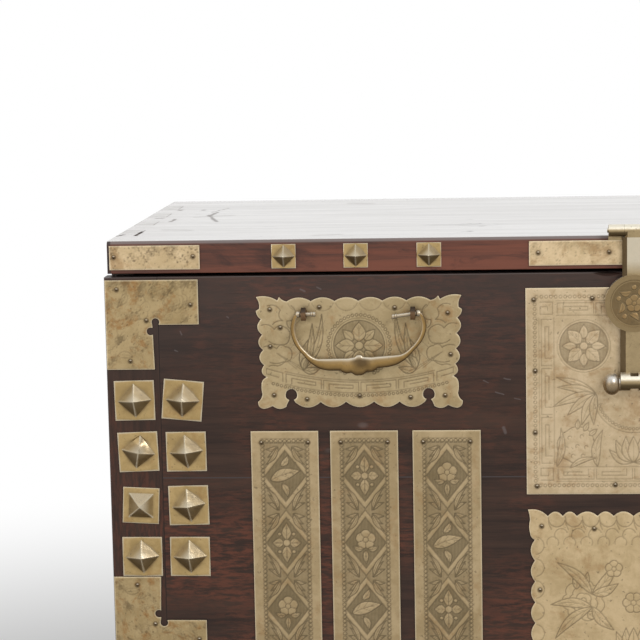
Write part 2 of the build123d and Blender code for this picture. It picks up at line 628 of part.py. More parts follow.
def main():
    os.makedirs("parts", exist_ok=True)
    nodes = {**case_nodes(), **door_nodes(), **hinge_nodes()}
    nodes["lower_centre_plate"] = mirror(nodes["door_centre_plate"], about=Plane.XY.offset(HINGE_LINE))
    nodes["hasp"] = hasp()
    nodes["lock_pin"] = lock_pin()
    for name, shape in nodes.items():
        export_step(shape, f"parts/{name}.step")
    print(len(nodes), "nodes")


main()
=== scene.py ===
import math

import bmesh
import bpy
import numpy as np
from bpy.props import FloatProperty, FloatVectorProperty, IntProperty, PointerProperty
from bpy.types import Operator, Panel, PropertyGroup
from mathutils import Matrix, Vector


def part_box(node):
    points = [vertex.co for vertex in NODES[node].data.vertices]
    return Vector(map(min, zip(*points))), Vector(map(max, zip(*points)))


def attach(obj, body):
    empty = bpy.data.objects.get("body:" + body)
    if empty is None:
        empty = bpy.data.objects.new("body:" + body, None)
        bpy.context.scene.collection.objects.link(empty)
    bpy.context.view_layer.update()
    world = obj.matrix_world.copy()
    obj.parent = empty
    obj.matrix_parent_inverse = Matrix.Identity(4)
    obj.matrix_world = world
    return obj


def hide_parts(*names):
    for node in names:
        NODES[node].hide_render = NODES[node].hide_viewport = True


bl_info = {
    "name": "Bandaji Chest",
    "version": (1, 0, 0),
    "blender": (4, 5, 0),
    "location": "View3D > Sidebar > Bandaji",
    "description": "Engraved brass fittings, studs, handles and old timber for a bandaji blanket chest",
    "category": "Object",
}

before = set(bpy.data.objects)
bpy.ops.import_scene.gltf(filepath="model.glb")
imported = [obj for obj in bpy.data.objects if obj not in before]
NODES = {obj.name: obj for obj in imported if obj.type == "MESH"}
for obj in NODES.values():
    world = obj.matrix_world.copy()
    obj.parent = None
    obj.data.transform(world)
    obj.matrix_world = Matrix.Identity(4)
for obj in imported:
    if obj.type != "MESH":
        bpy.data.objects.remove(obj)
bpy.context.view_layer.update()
FACE_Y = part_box("door_plank_upper")[0].y
TOP_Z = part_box("top_board")[1].z
MM = 0.001
SHEET_T = (FACE_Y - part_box("lock_plate")[0].y) / MM
SIDES = {"left": -1, "right": 1}
CORNERS = ((-1, -1), (-1, 1), (1, -1), (1, 1))
HINGES = range(1, 7)


# ---- Sizes and colours that a user would change --------------------------------------------
def millimetres(name, description, default, low, high):
    """A size in millimetres."""
    return FloatProperty(
        name=name, description=f"{description}, in millimetres", default=default, min=low, max=high)


def paint(name, description, default):
    """A colour."""
    return FloatVectorProperty(name=name, description=description, subtype="COLOR", default=default)


class BandajiSizes(PropertyGroup):
    """Grid steps and engraving sizes."""
    fine_step: millimetres("Fine step", "Grid step of the engraved plates", 0.66, 0.4, 3.0)
    strap_step: millimetres("Strap step", "Grid step of the hinge straps", 0.78, 0.4, 3.0)
    stroke: millimetres("Stroke", "Half width of an engraved line", 0.66, 0.3, 2.0)
    depth: millimetres("Depth", "Depth of an engraved line", 0.30, 0.0, 0.6)
    nail_radius: FloatProperty(
        name="Nail radius", description="Radius of a nail's head", default=0.0015, unit="LENGTH")
    turns: IntProperty(name="Turns", description="Sides of the lock pin", default=40, min=12, max=96)


class BandajiColours(PropertyGroup):
    """Colours of the timber and the metal."""
    timber_dark: paint("Dark timber", "Darkest grain of the case", (0.021, 0.012, 0.009))
    timber_mid: paint("Timber", "Common colour of the case", (0.058, 0.031, 0.021))
    timber_red: paint("Red timber", "Worn, redder grain", (0.125, 0.043, 0.025))
    timber_grey: paint("Grey timber", "Bleached grain high on the front", (0.066, 0.048, 0.042))
    # the pale top is a painted reflection on the upper face, seen at a grazing view
    top_pale: paint("Worn top", "Worn and bleached top surface", (0.70, 0.672, 0.636))
    brass: paint("Brass", "Clean sheet brass", (0.56, 0.43, 0.245))
    brass_dull: paint("Dull brass", "Brass gone dull", (0.36, 0.265, 0.13))
    stain: paint("Stain", "Orange-brown stain", (0.30, 0.155, 0.05))
    patina: paint("Patina", "Dark patina left in engraved lines", (0.105, 0.078, 0.042))


# ---- Shader helpers ------------------------------------------------------------------------
class Graph:
    """Adds shader nodes to a tree and links them."""

    def __init__(self, tree):
        self.tree = tree

    def add(self, kind, **settings):
        node = self.tree.nodes.new(kind)
        for key, value in settings.items():
            setattr(node, key, value)
        return node

    def put(self, socket, value):
        """Links a socket to another, or sets its own value."""
        if isinstance(value, bpy.types.NodeSocket):
            self.tree.links.new(value, socket)
        else:
            socket.default_value = value

    def fill(self, node, **given):
        """Puts values into a node's inputs by name, with _ for a space."""
        for name, value in given.items():
            self.put(node.inputs[name.replace("_", " ")], value)
        return node.outputs

    def math(self, operation, a, b=0.0, clamp=False):
        node = self.add("ShaderNodeMath", operation=operation, use_clamp=clamp)
        self.put(node.inputs[0], a)
        self.put(node.inputs[1], b)
        return node.outputs[0]

    def plus(self, a, b, clamp=False):
        return self.math("ADD", a, b, clamp)

    def minus(self, a, b, clamp=False):
        return self.math("SUBTRACT", a, b, clamp)

    def times(self, a, b, clamp=False):
        return self.math("MULTIPLY", a, b, clamp)

    def most(self, a, b):
        return self.math("MAXIMUM", a, b)

    def magnitude(self, a):
        return self.math("ABSOLUTE", a)

    def smooth(self, value, low, high):
        """0 at low, 1 at high, and an S-curve between them; low may be the larger of the two."""
        node = self.add("ShaderNodeMapRange", interpolation_type="SMOOTHSTEP")
        return self.fill(node, Value=value, From_Min=low, From_Max=high)["Result"]

    def mix(self, factor, a, b):
        """A blend of two colours, each a socket or a tuple."""
        node = self.add("ShaderNodeMix", data_type="RGBA")
        self.put(node.inputs[0], factor)
        for socket, colour in ((node.inputs[6], a), (node.inputs[7], b)):
            self.put(socket, colour if isinstance(colour, bpy.types.NodeSocket) else (*colour, 1.0))
        return node.outputs[2]

    def over(self, base, mask, strength, colour):
        """A colour laid over a base where a mask is, at a strength."""
        return self.mix(self.times(mask, strength), base, colour)

    def noise(self, vector, scale, detail=4.0, roughness=0.55, distortion=0.0):
        node = self.add("ShaderNodeTexNoise")
        return self.fill(node, Vector=vector, Scale=scale, Detail=detail, Roughness=roughness,
                         Distortion=distortion)["Fac"]

    def vector(self, operation, a, b=None, c=None):
        """A vector operation; SCALE takes its number in b.  Returns a vector, or a number for a measure."""
        node = self.add("ShaderNodeVectorMath", operation=operation)
        self.put(node.inputs[0], a)
        if b is not None:
            self.put(node.inputs["Scale" if operation == "SCALE" else 1], b)
        if c is not None:
            self.put(node.inputs[2], c)
        return node.outputs["Value" if operation in ("DOT_PRODUCT", "DISTANCE", "LENGTH") else "Vector"]

    def stretched(self, vector, scale, turn=(0.0, 0.0, 0.0)):
        return self.fill(self.add("ShaderNodeMapping"), Vector=vector, Rotation=turn, Scale=scale)[0]

    def parts(self, vector):
        return self.fill(self.add("ShaderNodeSeparateXYZ"), Vector=vector)

    def facing_up(self):
        """How far the surface looks up: the z of its normal."""
        return self.parts(self.add("ShaderNodeNewGeometry").outputs["Normal"])[2]

    def place(self, group, **given):
        """Places a node group and returns its outputs."""
        return self.fill(self.add("ShaderNodeGroup", node_tree=group), **given)

    def finish(self, shader, base, rough, height, strength, distance):
        """Links a shader's colour and roughness, and a bump whose height is 1 at a distance in metres."""
        bump = self.fill(self.add("ShaderNodeBump"), Height=height, Strength=strength, Distance=distance)
        self.fill(shader, Base_Color=base, Roughness=rough, Normal=bump[0])


def shader_group(name, inputs, build):
    """A node group: an input is a vector where its value is None and a number elsewhere; build returns
    its masks by name."""
    tree = bpy.data.node_groups.new(name, "ShaderNodeTree")
    for label, value in inputs.items():
        kind = "NodeSocketVector" if value is None else "NodeSocketFloat"
        socket = tree.interface.new_socket(label, in_out="INPUT", socket_type=kind)
        if value is not None:
            socket.default_value = value
    graph = Graph(tree)
    results = build(graph, graph.add("NodeGroupInput").outputs)
    leave = graph.add("NodeGroupOutput")
    for label, value in results.items():
        tree.interface.new_socket(label, in_out="OUTPUT", socket_type="NodeSocketFloat")
        graph.put(leave.inputs[label], value)
    return tree


def grain_group():
    """Long streaks, fine fibres and pores of timber; the vector is stretched along the grain."""
    def build(g, given):
        streak = g.noise(given["Vector"], given["Streaks"], 6.0, 0.62, 0.5)
        fibre = g.noise(given["Vector"], given["Fibres"], 3.0, 0.6)
        tone = g.plus(g.times(streak, 0.72), g.times(fibre, 0.28))
        return {"Tone": tone, "Pores": g.smooth(fibre, 0.60, 0.72)}
    return shader_group("Timber grain", {"Vector": None, "Streaks": 1.0, "Fibres": 9.0}, build)


def scuff_group():
    """Small pale knocks and thin scratches, as masks."""
    def build(g, given):
        place = given["Vector"]
        cells = g.add("ShaderNodeTexVoronoi", feature="F1")
        gap = g.fill(cells, Vector=g.stretched(place, (0.55, 1.0, 1.0)), Scale=given["Scale"])["Distance"]
        picked = g.smooth(g.noise(place, 6.0, 2.0), 0.52, 0.66)
        knock = g.times(g.minus(1.0, g.smooth(gap, 0.04, 0.13)), picked)
        line = g.noise(g.stretched(place, (6.0, 40.0, 90.0), (0.2, 0.3, 0.5)), 1.6, 2.0, 0.5, 0.6)
        scratch = g.times(g.smooth(line, 0.70, 0.76), g.smooth(g.noise(place, 9.0), 0.5, 0.62))
        return {"Knocks": knock, "Scratches": scratch}
    return shader_group("Scuffs", {"Vector": None, "Scale": 34.0}, build)


def tarnish_group():
    """Clouds of dull metal, orange-brown stains, dark specks and fine unevenness."""
    def build(g, given):
        def layer(scale, detail, roughness, distortion=0.0):
            return g.noise(given["Vector"], g.times(given["Scale"], scale), detail, roughness, distortion)
        broad, fine_cloud = layer(13.0, 4.0, 0.6, 0.6), layer(95.0, 4.0, 0.66, 0.4)
        cloud = g.plus(g.times(broad, 0.55), g.times(fine_cloud, 0.45))
        broad, fine_stain = layer(24.0, 5.0, 0.7, 1.0), layer(160.0, 3.0, 0.6, 0.3)
        stain = g.plus(g.times(broad, 0.7), g.times(fine_stain, 0.3))
        return {"Clouds": g.smooth(cloud, 0.38, 0.62), "Stains": g.smooth(stain, 0.50, 0.64),
                "Specks": g.smooth(layer(260.0, 3.0, 0.6), 0.62, 0.72), "Fine": layer(520.0, 3.0, 0.6)}
    return shader_group("Tarnish", {"Vector": None, "Scale": 1.0}, build)


# ---- Materials -----------------------------------------------------------------------------
WAX_ROUGHNESS = 0.22
WAX_WEIGHT = 0.9


def new_material(name, metallic=0.0, specular=0.5):
    """The graph and the Principled BSDF of a new material, and its Object coordinates."""
    made = bpy.data.materials.new(name)
    made.use_nodes = True
    g = Graph(made.node_tree)
    shader = made.node_tree.nodes["Principled BSDF"]
    g.fill(shader, Metallic=metallic, Specular_IOR_Level=specular)
    return g, shader, g.add("ShaderNodeTexCoord").outputs["Object"]


def line_mask(g, coordinate, at, half):
    """1 where a coordinate lies within half of a place, 0 outside."""
    return g.minus(1.0, g.smooth(g.magnitude(g.minus(coordinate, at)), half * 0.4, half))


def strokes(g, place, lines, wander):
    """1 along short lines, each ((a), (b), half width), fading out across the half width.

    The gap to a line is the distance to its nearest point, a + t (b - a) with t held from 0 to 1; the
    place wanders a little so that no line is straight."""
    drift = g.fill(g.add("ShaderNodeTexNoise"), Vector=place, Scale=120.0)["Color"]
    moved = g.vector("MULTIPLY_ADD", drift, (wander,) * 3, place)
    total = 0.0
    for a, b, half in lines:
        along = Vector(b) - Vector(a)
        away = g.vector("SUBTRACT", moved, Vector(a) + Vector((wander / 2,) * 3))
        t = g.times(g.vector("DOT_PRODUCT", away, along), 1.0 / along.length_squared, clamp=True)
        gap = g.vector("DISTANCE", away, g.vector("SCALE", along, t))
        total = g.most(total, g.minus(1.0, g.smooth(gap, half * 0.3, half)))
    return total


def timber(name, groups, paints, along, redness, seams=()):
    """Dark old timber with its grain along an axis.

    seams are (axis number, place in metres, colour) of joints and of worn edges that show as thin lines; the
    pale line along the door's top edge is partly wear and partly a painted highlight."""
    g, shader, place = new_material(name, specular=0.22)

    def drawn_out(across, lengthways):
        return g.stretched(place, [lengthways if axis == along else across for axis in range(3)])

    grain = g.place(groups["grain"], Vector=drawn_out(66.0, 3.4), Fibres=7.0)
    scuffs = g.place(groups["scuffs"], Vector=place)
    mottle = g.noise(drawn_out(330.0, 62.0), 1.0, 6.0, 0.72, 0.2)
    patches = g.noise(place, 5.0, 4.0, 0.62, 0.8)
    base = g.mix(g.smooth(grain["Tone"], 0.30, 0.68), paints.timber_dark, paints.timber_mid)
    red = g.times(g.smooth(mottle, 0.40, 0.62), g.smooth(patches, 0.42, 0.66))
    base = g.mix(g.times(red, redness * 2.0, clamp=True), base, paints.timber_red)
    greyed = g.smooth(g.parts(place)[2], TOP_Z - 0.16, TOP_Z - 0.04)
    base = g.over(base, greyed, 0.45, paints.timber_grey)
    base = g.over(base, grain["Pores"], 0.30, (0.014, 0.009, 0.007))
    base = g.over(base, scuffs["Knocks"], 0.30, (0.20, 0.165, 0.15))
    base = g.over(base, scuffs["Scratches"], 0.30, (0.17, 0.12, 0.10))
    if along == 0 and seams:
        base = g.over(base, strokes(g, place, FRONT_SCRATCHES, 0.002), 0.34, (0.20, 0.17, 0.165))
    for axis, at, colour in seams:
        base = g.mix(line_mask(g, g.parts(place)[axis], at, 0.0008), base, colour)
    # end_grain paints the upper face at the height of the top pale, as a painted reflection
    upper = upper_face(g, place)
    base, cut = end_grain(g, upper, base, place)
    rough = g.plus(g.times(grain["Tone"], 0.25), 0.36)
    height = g.plus(g.times(grain["Tone"], 0.7), g.times(grain["Pores"], -0.5))
    height = g.minus(height, g.times(scuffs["Knocks"], 0.6))
    g.finish(shader, base, g.plus(rough, g.times(cut, 0.6), clamp=True), height, 0.30, 0.0006)
    wax(g, shader, upper, cut)


def wax(g, shader, upper, marks):
    """Waxes the upper face, but not the marks in it."""
    weight = g.times(g.minus(upper, marks, clamp=True), WAX_WEIGHT)
    g.fill(shader, Coat_Weight=weight, Coat_Roughness=WAX_ROUGHNESS)


def upper_face(g, place):
    """1 on whatever looks up at the height of the top surface."""
    high = g.smooth(g.parts(place)[2], TOP_Z - 0.003, TOP_Z - 0.001)
    return g.times(g.smooth(g.facing_up(), 0.93, 0.995), high)


def end_grain(g, upper, base, place):
    """Paints the finger ends of the side boards in the top surface pale, as a painted reflection, and draws
    their joints.

    The fingers repeat along the depth; a joint shows wherever the depth within one repeat comes to
    half a finger from its middle, and along the inner face of the board.  Returns the colour and the
    mask of the joints and slots."""
    low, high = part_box("top_board")
    middle, half_finger, pitch = (low.y + high.y) / 2, 0.020, 0.090
    board, half_line = 0.020, 0.0016
    depth = g.magnitude(g.minus(g.parts(place)[1], middle))
    within = g.magnitude(g.minus(g.math("PINGPONG", depth, pitch), pitch / 2))
    inner = line_mask(g, g.magnitude(g.parts(place)[0]), high.x - board, half_line)
    joint = g.times(g.most(line_mask(g, within, half_finger, half_line), inner), 0.55)
    # the upper face is painted pale, unevenly, as a painted reflection
    wear_and_highlight = g.noise(place, 60.0, 3.0, 0.6)
    pale = g.mix(g.smooth(wear_and_highlight, 0.4, 0.6), (0.50, 0.46, 0.42), (0.64, 0.61, 0.57))
    cut = g.times(g.most(joint, strokes(g, place, FINGER_SLOTS, 0.003)), upper)
    return g.mix(cut, g.mix(upper, base, pale), (0.05, 0.035, 0.03)), cut


def on_top(marks):
    """Marks in the top surface from their two ends (x, y) and a half width, in metres."""
    return tuple(((*a, TOP_Z), (*b, TOP_Z), half) for a, b, half in marks)


TOP_CRACKS = on_top((
    ((-0.420, 0.054), (-0.402, -0.026), 0.0030), ((-0.415, 0.085), (-0.418, 0.045), 0.0034),
    ((-0.422, 0.086), (-0.408, 0.137), 0.0018), ((-0.450, -0.020), (-0.449, 0.010), 0.0034),
    ((-0.459, 0.112), (-0.457, 0.122), 0.0036), ((-0.434, 0.112), (-0.433, 0.118), 0.0036)))
TOP_STAINS = on_top((
    ((-0.443, -0.106), (-0.418, -0.112), 0.0060), ((-0.291, -0.176), (-0.269, -0.172), 0.0060),
    ((-0.476, -0.071), (-0.462, -0.072), 0.0030), ((-0.279, 0.176), (-0.258, 0.168), 0.0080),
    ((-0.473, -0.025), (-0.458, -0.018), 0.0035), ((-0.430, 0.030), (-0.395, 0.046), 0.0060)))
FINGER_SLOTS = on_top((
    ((-0.4632, -0.162), (-0.4624, -0.120), 0.0027), ((-0.480, -0.162), (-0.476, -0.150), 0.0026),
    ((-0.470, 0.020), (-0.463, 0.024), 0.0028)))
# scratches and knocks in the front: two ends (x, z) and a half width, in metres
FRONT_SCRATCHES = tuple(((a[0], FACE_Y, a[1]), (b[0], FACE_Y, b[1]), half) for a, b, half in (
    ((-0.4156, 0.7183), (-0.4141, 0.7150), 0.0009), ((-0.4210, 0.7003), (-0.4185, 0.6993), 0.0009),
    ((-0.3715, 0.7312), (-0.3700, 0.7300), 0.0008), ((-0.3035, 0.7560), (-0.2995, 0.7543), 0.0013),
    ((-0.2878, 0.7580), (-0.2840, 0.7560), 0.0009), ((-0.1186, 0.6258), (-0.1168, 0.6212), 0.0022),
    ((-0.1365, 0.6700), (-0.1315, 0.6676), 0.0009), ((-0.1255, 0.6590), (-0.1180, 0.6572), 0.0008),
    ((-0.1177, 0.6721), (-0.1120, 0.6708), 0.0009), ((-0.1080, 0.6533), (-0.1030, 0.6520), 0.0007)))


def worn_and_sheened_top(name, groups, paints):
    """The top board: red-brown edges, grey worn arrises and a waxed upper face painted pale as a reflection.
    """
    g, shader, place = new_material(name, specular=0.35)
    grain = g.place(groups["grain"], Vector=g.stretched(place, (2.6, 42.0, 60.0)), Fibres=6.0)
    scuffs = g.place(groups["scuffs"], Vector=place)
    knots = g.noise(g.stretched(place, (9.0, 26.0, 26.0)), 1.0, 5.0, 0.7, 1.2)
    broad = g.noise(g.stretched(place, (2.0, 7.0, 7.0)), 1.0, 3.0, 0.6, 0.5)
    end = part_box("top_board")[1].x
    x, y, z = g.parts(place)
    side = g.magnitude(x)
    arris = g.times(g.smooth(g.facing_up(), 0.10, 0.62), g.smooth(z, TOP_Z - 0.006, TOP_Z - 0.002))
    edge = g.mix(g.smooth(grain["Tone"], 0.34, 0.64), (0.040, 0.020, 0.015), (0.175, 0.056, 0.032))
    edge = g.over(edge, g.smooth(knots, 0.50, 0.66), 0.75, (0.022, 0.012, 0.010))
    edge = g.over(edge, arris, 0.85, (0.235, 0.195, 0.185))
    edge = g.over(edge, g.smooth(side, end - 0.004, end - 0.0025), 0.8, (0.020, 0.013, 0.011))
    # the upper face is painted pale as a reflection, with darker patches, knots and pores in it
    pale = g.mix(g.smooth(grain["Tone"], 0.36, 0.60), (0.47, 0.44, 0.41), paints.top_pale)
    pale = g.over(pale, g.smooth(broad, 0.50, 0.68), 0.4, (0.40, 0.362, 0.325))
    pale = g.over(pale, g.smooth(knots, 0.62, 0.70), 0.8, (0.085, 0.062, 0.05))
    pale = g.over(pale, grain["Pores"], 0.5, (0.20, 0.17, 0.15))
    pale = g.over(pale, g.smooth(side, 0.42, 0.47), 0.35, (0.44, 0.36, 0.32))
    pale = g.over(pale, line_mask(g, y, -0.046, 0.0018), 0.35, (0.20, 0.15, 0.13))
    upper = upper_face(g, place)
    cut = strokes(g, place, FINGER_SLOTS, 0.003)
    faint = ((strokes(g, place, TOP_CRACKS, 0.006), 0.60), (strokes(g, place, TOP_STAINS, 0.004), 0.30),
             (g.smooth(knots, 0.64, 0.74), 0.40))
    for mask, strength in faint:
        cut = g.most(cut, g.times(mask, strength))
    cut = g.times(cut, upper)
    base = g.mix(upper, edge, pale)
    base = g.over(base, scuffs["Knocks"], 0.4, (0.10, 0.07, 0.06))
    base = g.over(base, cut, 0.9, (0.07, 0.052, 0.045))
    rough = g.plus(g.minus(0.50, g.times(upper, 0.22)), g.times(cut, 0.6), clamp=True)
    height = g.plus(g.times(grain["Tone"], 0.6), g.times(grain["Pores"], -0.5))
    g.finish(shader, base, rough, height, 0.30, 0.0006)
    wax(g, shader, upper, cut)


def finish_marks(g):
    """Four masks: line, ground and brightening from the finish attribute, and darkening from an attribute of
    its own; the brightening is wear and painted highlights, the darkening grime and painted shade.
    """
    marks = g.add("ShaderNodeAttribute", attribute_name="finish").outputs["Color"]
    channels = g.fill(g.add("ShaderNodeSeparateColor"), Color=marks)
    return (*channels, g.add("ShaderNodeAttribute", attribute_name="dirt").outputs["Fac"])


def old_brass(name, groups, paints, tint, stains, marks=1.0, metallic=0.72, roughness=0.40,
              polished=(0.78, 0.68, 0.49)):
    """Brass with clouds, stains and specks; the finish attribute darkens lines and hatched ground."""
    g, shader, place = new_material(name, metallic=metallic)
    line, ground, polish, dark = finish_marks(g)
    tarnish = g.place(groups["tarnish"], Vector=place)
    bright, dull = ([c * t for c, t in zip(colour, tint)] for colour in (paints.brass, paints.brass_dull))
    hatch_pitch = 0.0013
    hatch = g.math("SINE", g.times(g.parts(place)[0], 2 * math.pi / hatch_pitch))
    hatch = g.times(g.plus(0.66, g.times(hatch, 0.22)), marks)
    base = g.over(bright, tarnish["Clouds"], 0.62, dull)
    base = g.over(base, tarnish["Stains"], stains, paints.stain)
    base = g.over(base, tarnish["Specks"], 0.55, paints.patina)
    base = g.over(base, ground, hatch, (0.165, 0.125, 0.066))
    # darkening: grime, and painted shade on stud facets, in creases and round nails
    base = g.over(base, dark, 0.85, (0.085, 0.055, 0.024))
    base = g.over(base, line, 0.78 * marks, paints.patina)
    # brightening: wear, and painted highlights on rims, ridges and upper facets
    base = g.over(base, polish, 0.65, polished)
    rough = g.plus(roughness, g.times(tarnish["Clouds"], 0.12))
    rough = g.plus(rough, g.times(g.most(line, ground), 0.20))
    rough = g.minus(rough, g.times(polish, 0.12))
    height = g.plus(g.times(tarnish["Clouds"], 1.2), g.times(tarnish["Fine"], 0.35))
    height = g.minus(height, g.times(tarnish["Specks"], 0.5))
    g.finish(shader, base, rough, height, 0.22, 0.0005)


def worn_and_shaded_metal(name, groups, body, bright, beneath, roughness=0.30, metallic=0.9, rubbed=(0.05, 0.75),
               shaded=(-0.15, -0.75), dull_spot=None):
    """Cast and forged pieces painted by the way each side faces: pale on their upper sides as a painted
    highlight, brown beneath as painted shade.

    The ranges for the upper sides and for the shaded undersides give how far a side looks up where each
    begins and is full.  dull_spot is (centre, radius, colour) of a round place that keeps its patina."""
    g, shader, place = new_material(name, metallic=metallic)
    tarnish = g.place(groups["tarnish"], Vector=place, Scale=1.8)
    _, _, polish, dark = finish_marks(g)
    up = g.facing_up()
    base = g.over(body, tarnish["Clouds"], 0.5, [c * 0.62 for c in body])
    # painted light on the upper sides and painted shade on the undersides
    base = g.over(base, g.smooth(up, *rubbed), 0.85, bright)
    base = g.over(base, g.smooth(up, *shaded), 0.85, beneath)
    base = g.over(base, tarnish["Specks"], 0.5, (0.09, 0.065, 0.04))
    # brightening from the finish attribute: wear and painted highlights
    base = g.over(base, polish, 0.7, bright)
    if dull_spot:
        centre, reach, colour = dull_spot
        gap = g.vector("DISTANCE", g.vector("MULTIPLY", place, (1.0, 0.0, 1.0)), centre)
        spot = g.minus(1.0, g.smooth(gap, reach - 0.0004, reach + 0.0002))
        spot = g.times(spot, g.minus(1.0, g.times(tarnish["Clouds"], 0.3)))
        base = g.over(base, spot, 0.9, colour)
    base = g.over(base, dark, 0.85, (0.080, 0.050, 0.023))
    rough = g.plus(roughness, g.times(tarnish["Clouds"], 0.15))
    height = g.plus(tarnish["Clouds"], g.times(tarnish["Fine"], 0.3))
    g.finish(shader, base, rough, height, 0.25, 0.0005)


# ---- Paths in millimetres --------------------------------------------------------------------
def arc(centre, radius, start=0.0, end=360.0, count=48):
    """Points of a circle or part of one; angles in degrees, anticlockwise from the right."""
    turn = np.radians(np.linspace(start, end, count))
    return np.stack((centre[0] + radius * np.cos(turn), centre[1] + radius * np.sin(turn)), -1)


def compass(degrees):
    """Unit vectors along a direction and a quarter turn to its left."""
    turn = math.radians(degrees)
    return np.array((math.cos(turn), math.sin(turn))), np.array((-math.sin(turn), math.cos(turn)))


def rectangle(width, height):
    """The corners of a rectangle about zero, anticlockwise from the lower left."""
    return np.array(((-1, -1), (1, -1), (1, 1), (-1, 1))) * (width / 2, height / 2)


def walked(path, choose):
    """Points of a polyline at the distances along it that choose picks from its corners' own."""
    path = np.asarray(path, float)
    along = np.concatenate(([0.0], np.cumsum(np.hypot(*np.diff(path, axis=0).T))))
    places = choose(along)
    return np.stack([np.interp(places, along, path[:, k]) for k in (0, 1)], -1)


def dense(path, step=1.5):
    """The same polyline with points no further apart than step."""
    return walked(path, lambda along: np.unique(np.concatenate((along, np.arange(0.0, along[-1], step)))))


def spaced(path, pitch):
    """Equally spaced points along a polyline, close to pitch apart."""
    return walked(path, lambda along: np.linspace(0.0, along[-1], max(2, round(along[-1] / pitch) + 1)))


def bulging(points):
    """A closed outline through (x, y, bulge) points, where a bulge turns the run that leads to its
    point into an arc of that height, swelling to the right of the way it is walked."""
    runs = []
    for (x0, y0, _), (x1, y1, bulge) in zip(points, points[1:] + points[:1]):
        t = np.linspace(0.0, 1.0, 13 if bulge else 2)[:-1]
        dx, dy = x1 - x0, y1 - y0
        swell = 4.0 * bulge * t * (1.0 - t) / math.hypot(dx, dy)
        runs.append(np.stack((x0 + dx * t + swell * dy, y0 + dy * t - swell * dx), -1))
    return np.concatenate(runs + [runs[0][:1]])


def lobes(start, end, count, bulge):
    """Points of a row of equal scallops from start, left out, to end."""
    step = [(end[k] - start[k]) / count for k in (0, 1)]
    return [(start[0] + step[0] * k, start[1] + step[1] * k, bulge) for k in range(1, count + 1)]


def both_halves(left, bottom_bulge=0.0):
    """A closed outline from its left half, walked from the top middle down, and its mirror image."""
    climb = left[:0:-1]
    bulges = [bottom_bulge] + [bulge for _, _, bulge in climb]
    points = [(*left[0][:2], bulges[-1])] + left[1:]
    return bulging(points + [(-x, y, bulge) for (x, y, _), bulge in zip(climb, bulges)])


def leaf_outline(base, tip, width, bend=0.0, count=14):
    """Two sine curves from base to tip that enclose a leaf, its axis bowed by bend times its length."""
    base, tip = np.asarray(base, float), np.asarray(tip, float)
    t = np.linspace(0.0, 1.0, count)[:, None]
    axis = tip - base
    normal = np.array((-axis[1], axis[0]))
    middle = base + axis * t + normal * bend * np.sin(math.pi * t)
    half = normal / np.hypot(*normal) * (width / 2) * np.sin(math.pi * t ** 0.8)
    return np.concatenate((middle + half, (middle - half)[::-1])), middle


def petal_outline(centre, radius, petals, turn=0.0, notch=0.22, count=96):
    """A closed curve whose radius swells once for each petal."""
    angle = np.linspace(0.0, 2 * math.pi, count + 1)
    r = radius * (1.0 - notch + notch * np.abs(np.cos(petals * (angle - math.radians(turn)) / 2)) ** 0.6)
    return np.stack((centre[0] + r * np.cos(angle), centre[1] + r * np.sin(angle)), -1)


# ---- Engraved sheets -------------------------------------------------------------------------
# the black ring is painted shade where a nail's head meets the sheet
NAIL_RING = 1.9                   # radius of the black ring round a nail


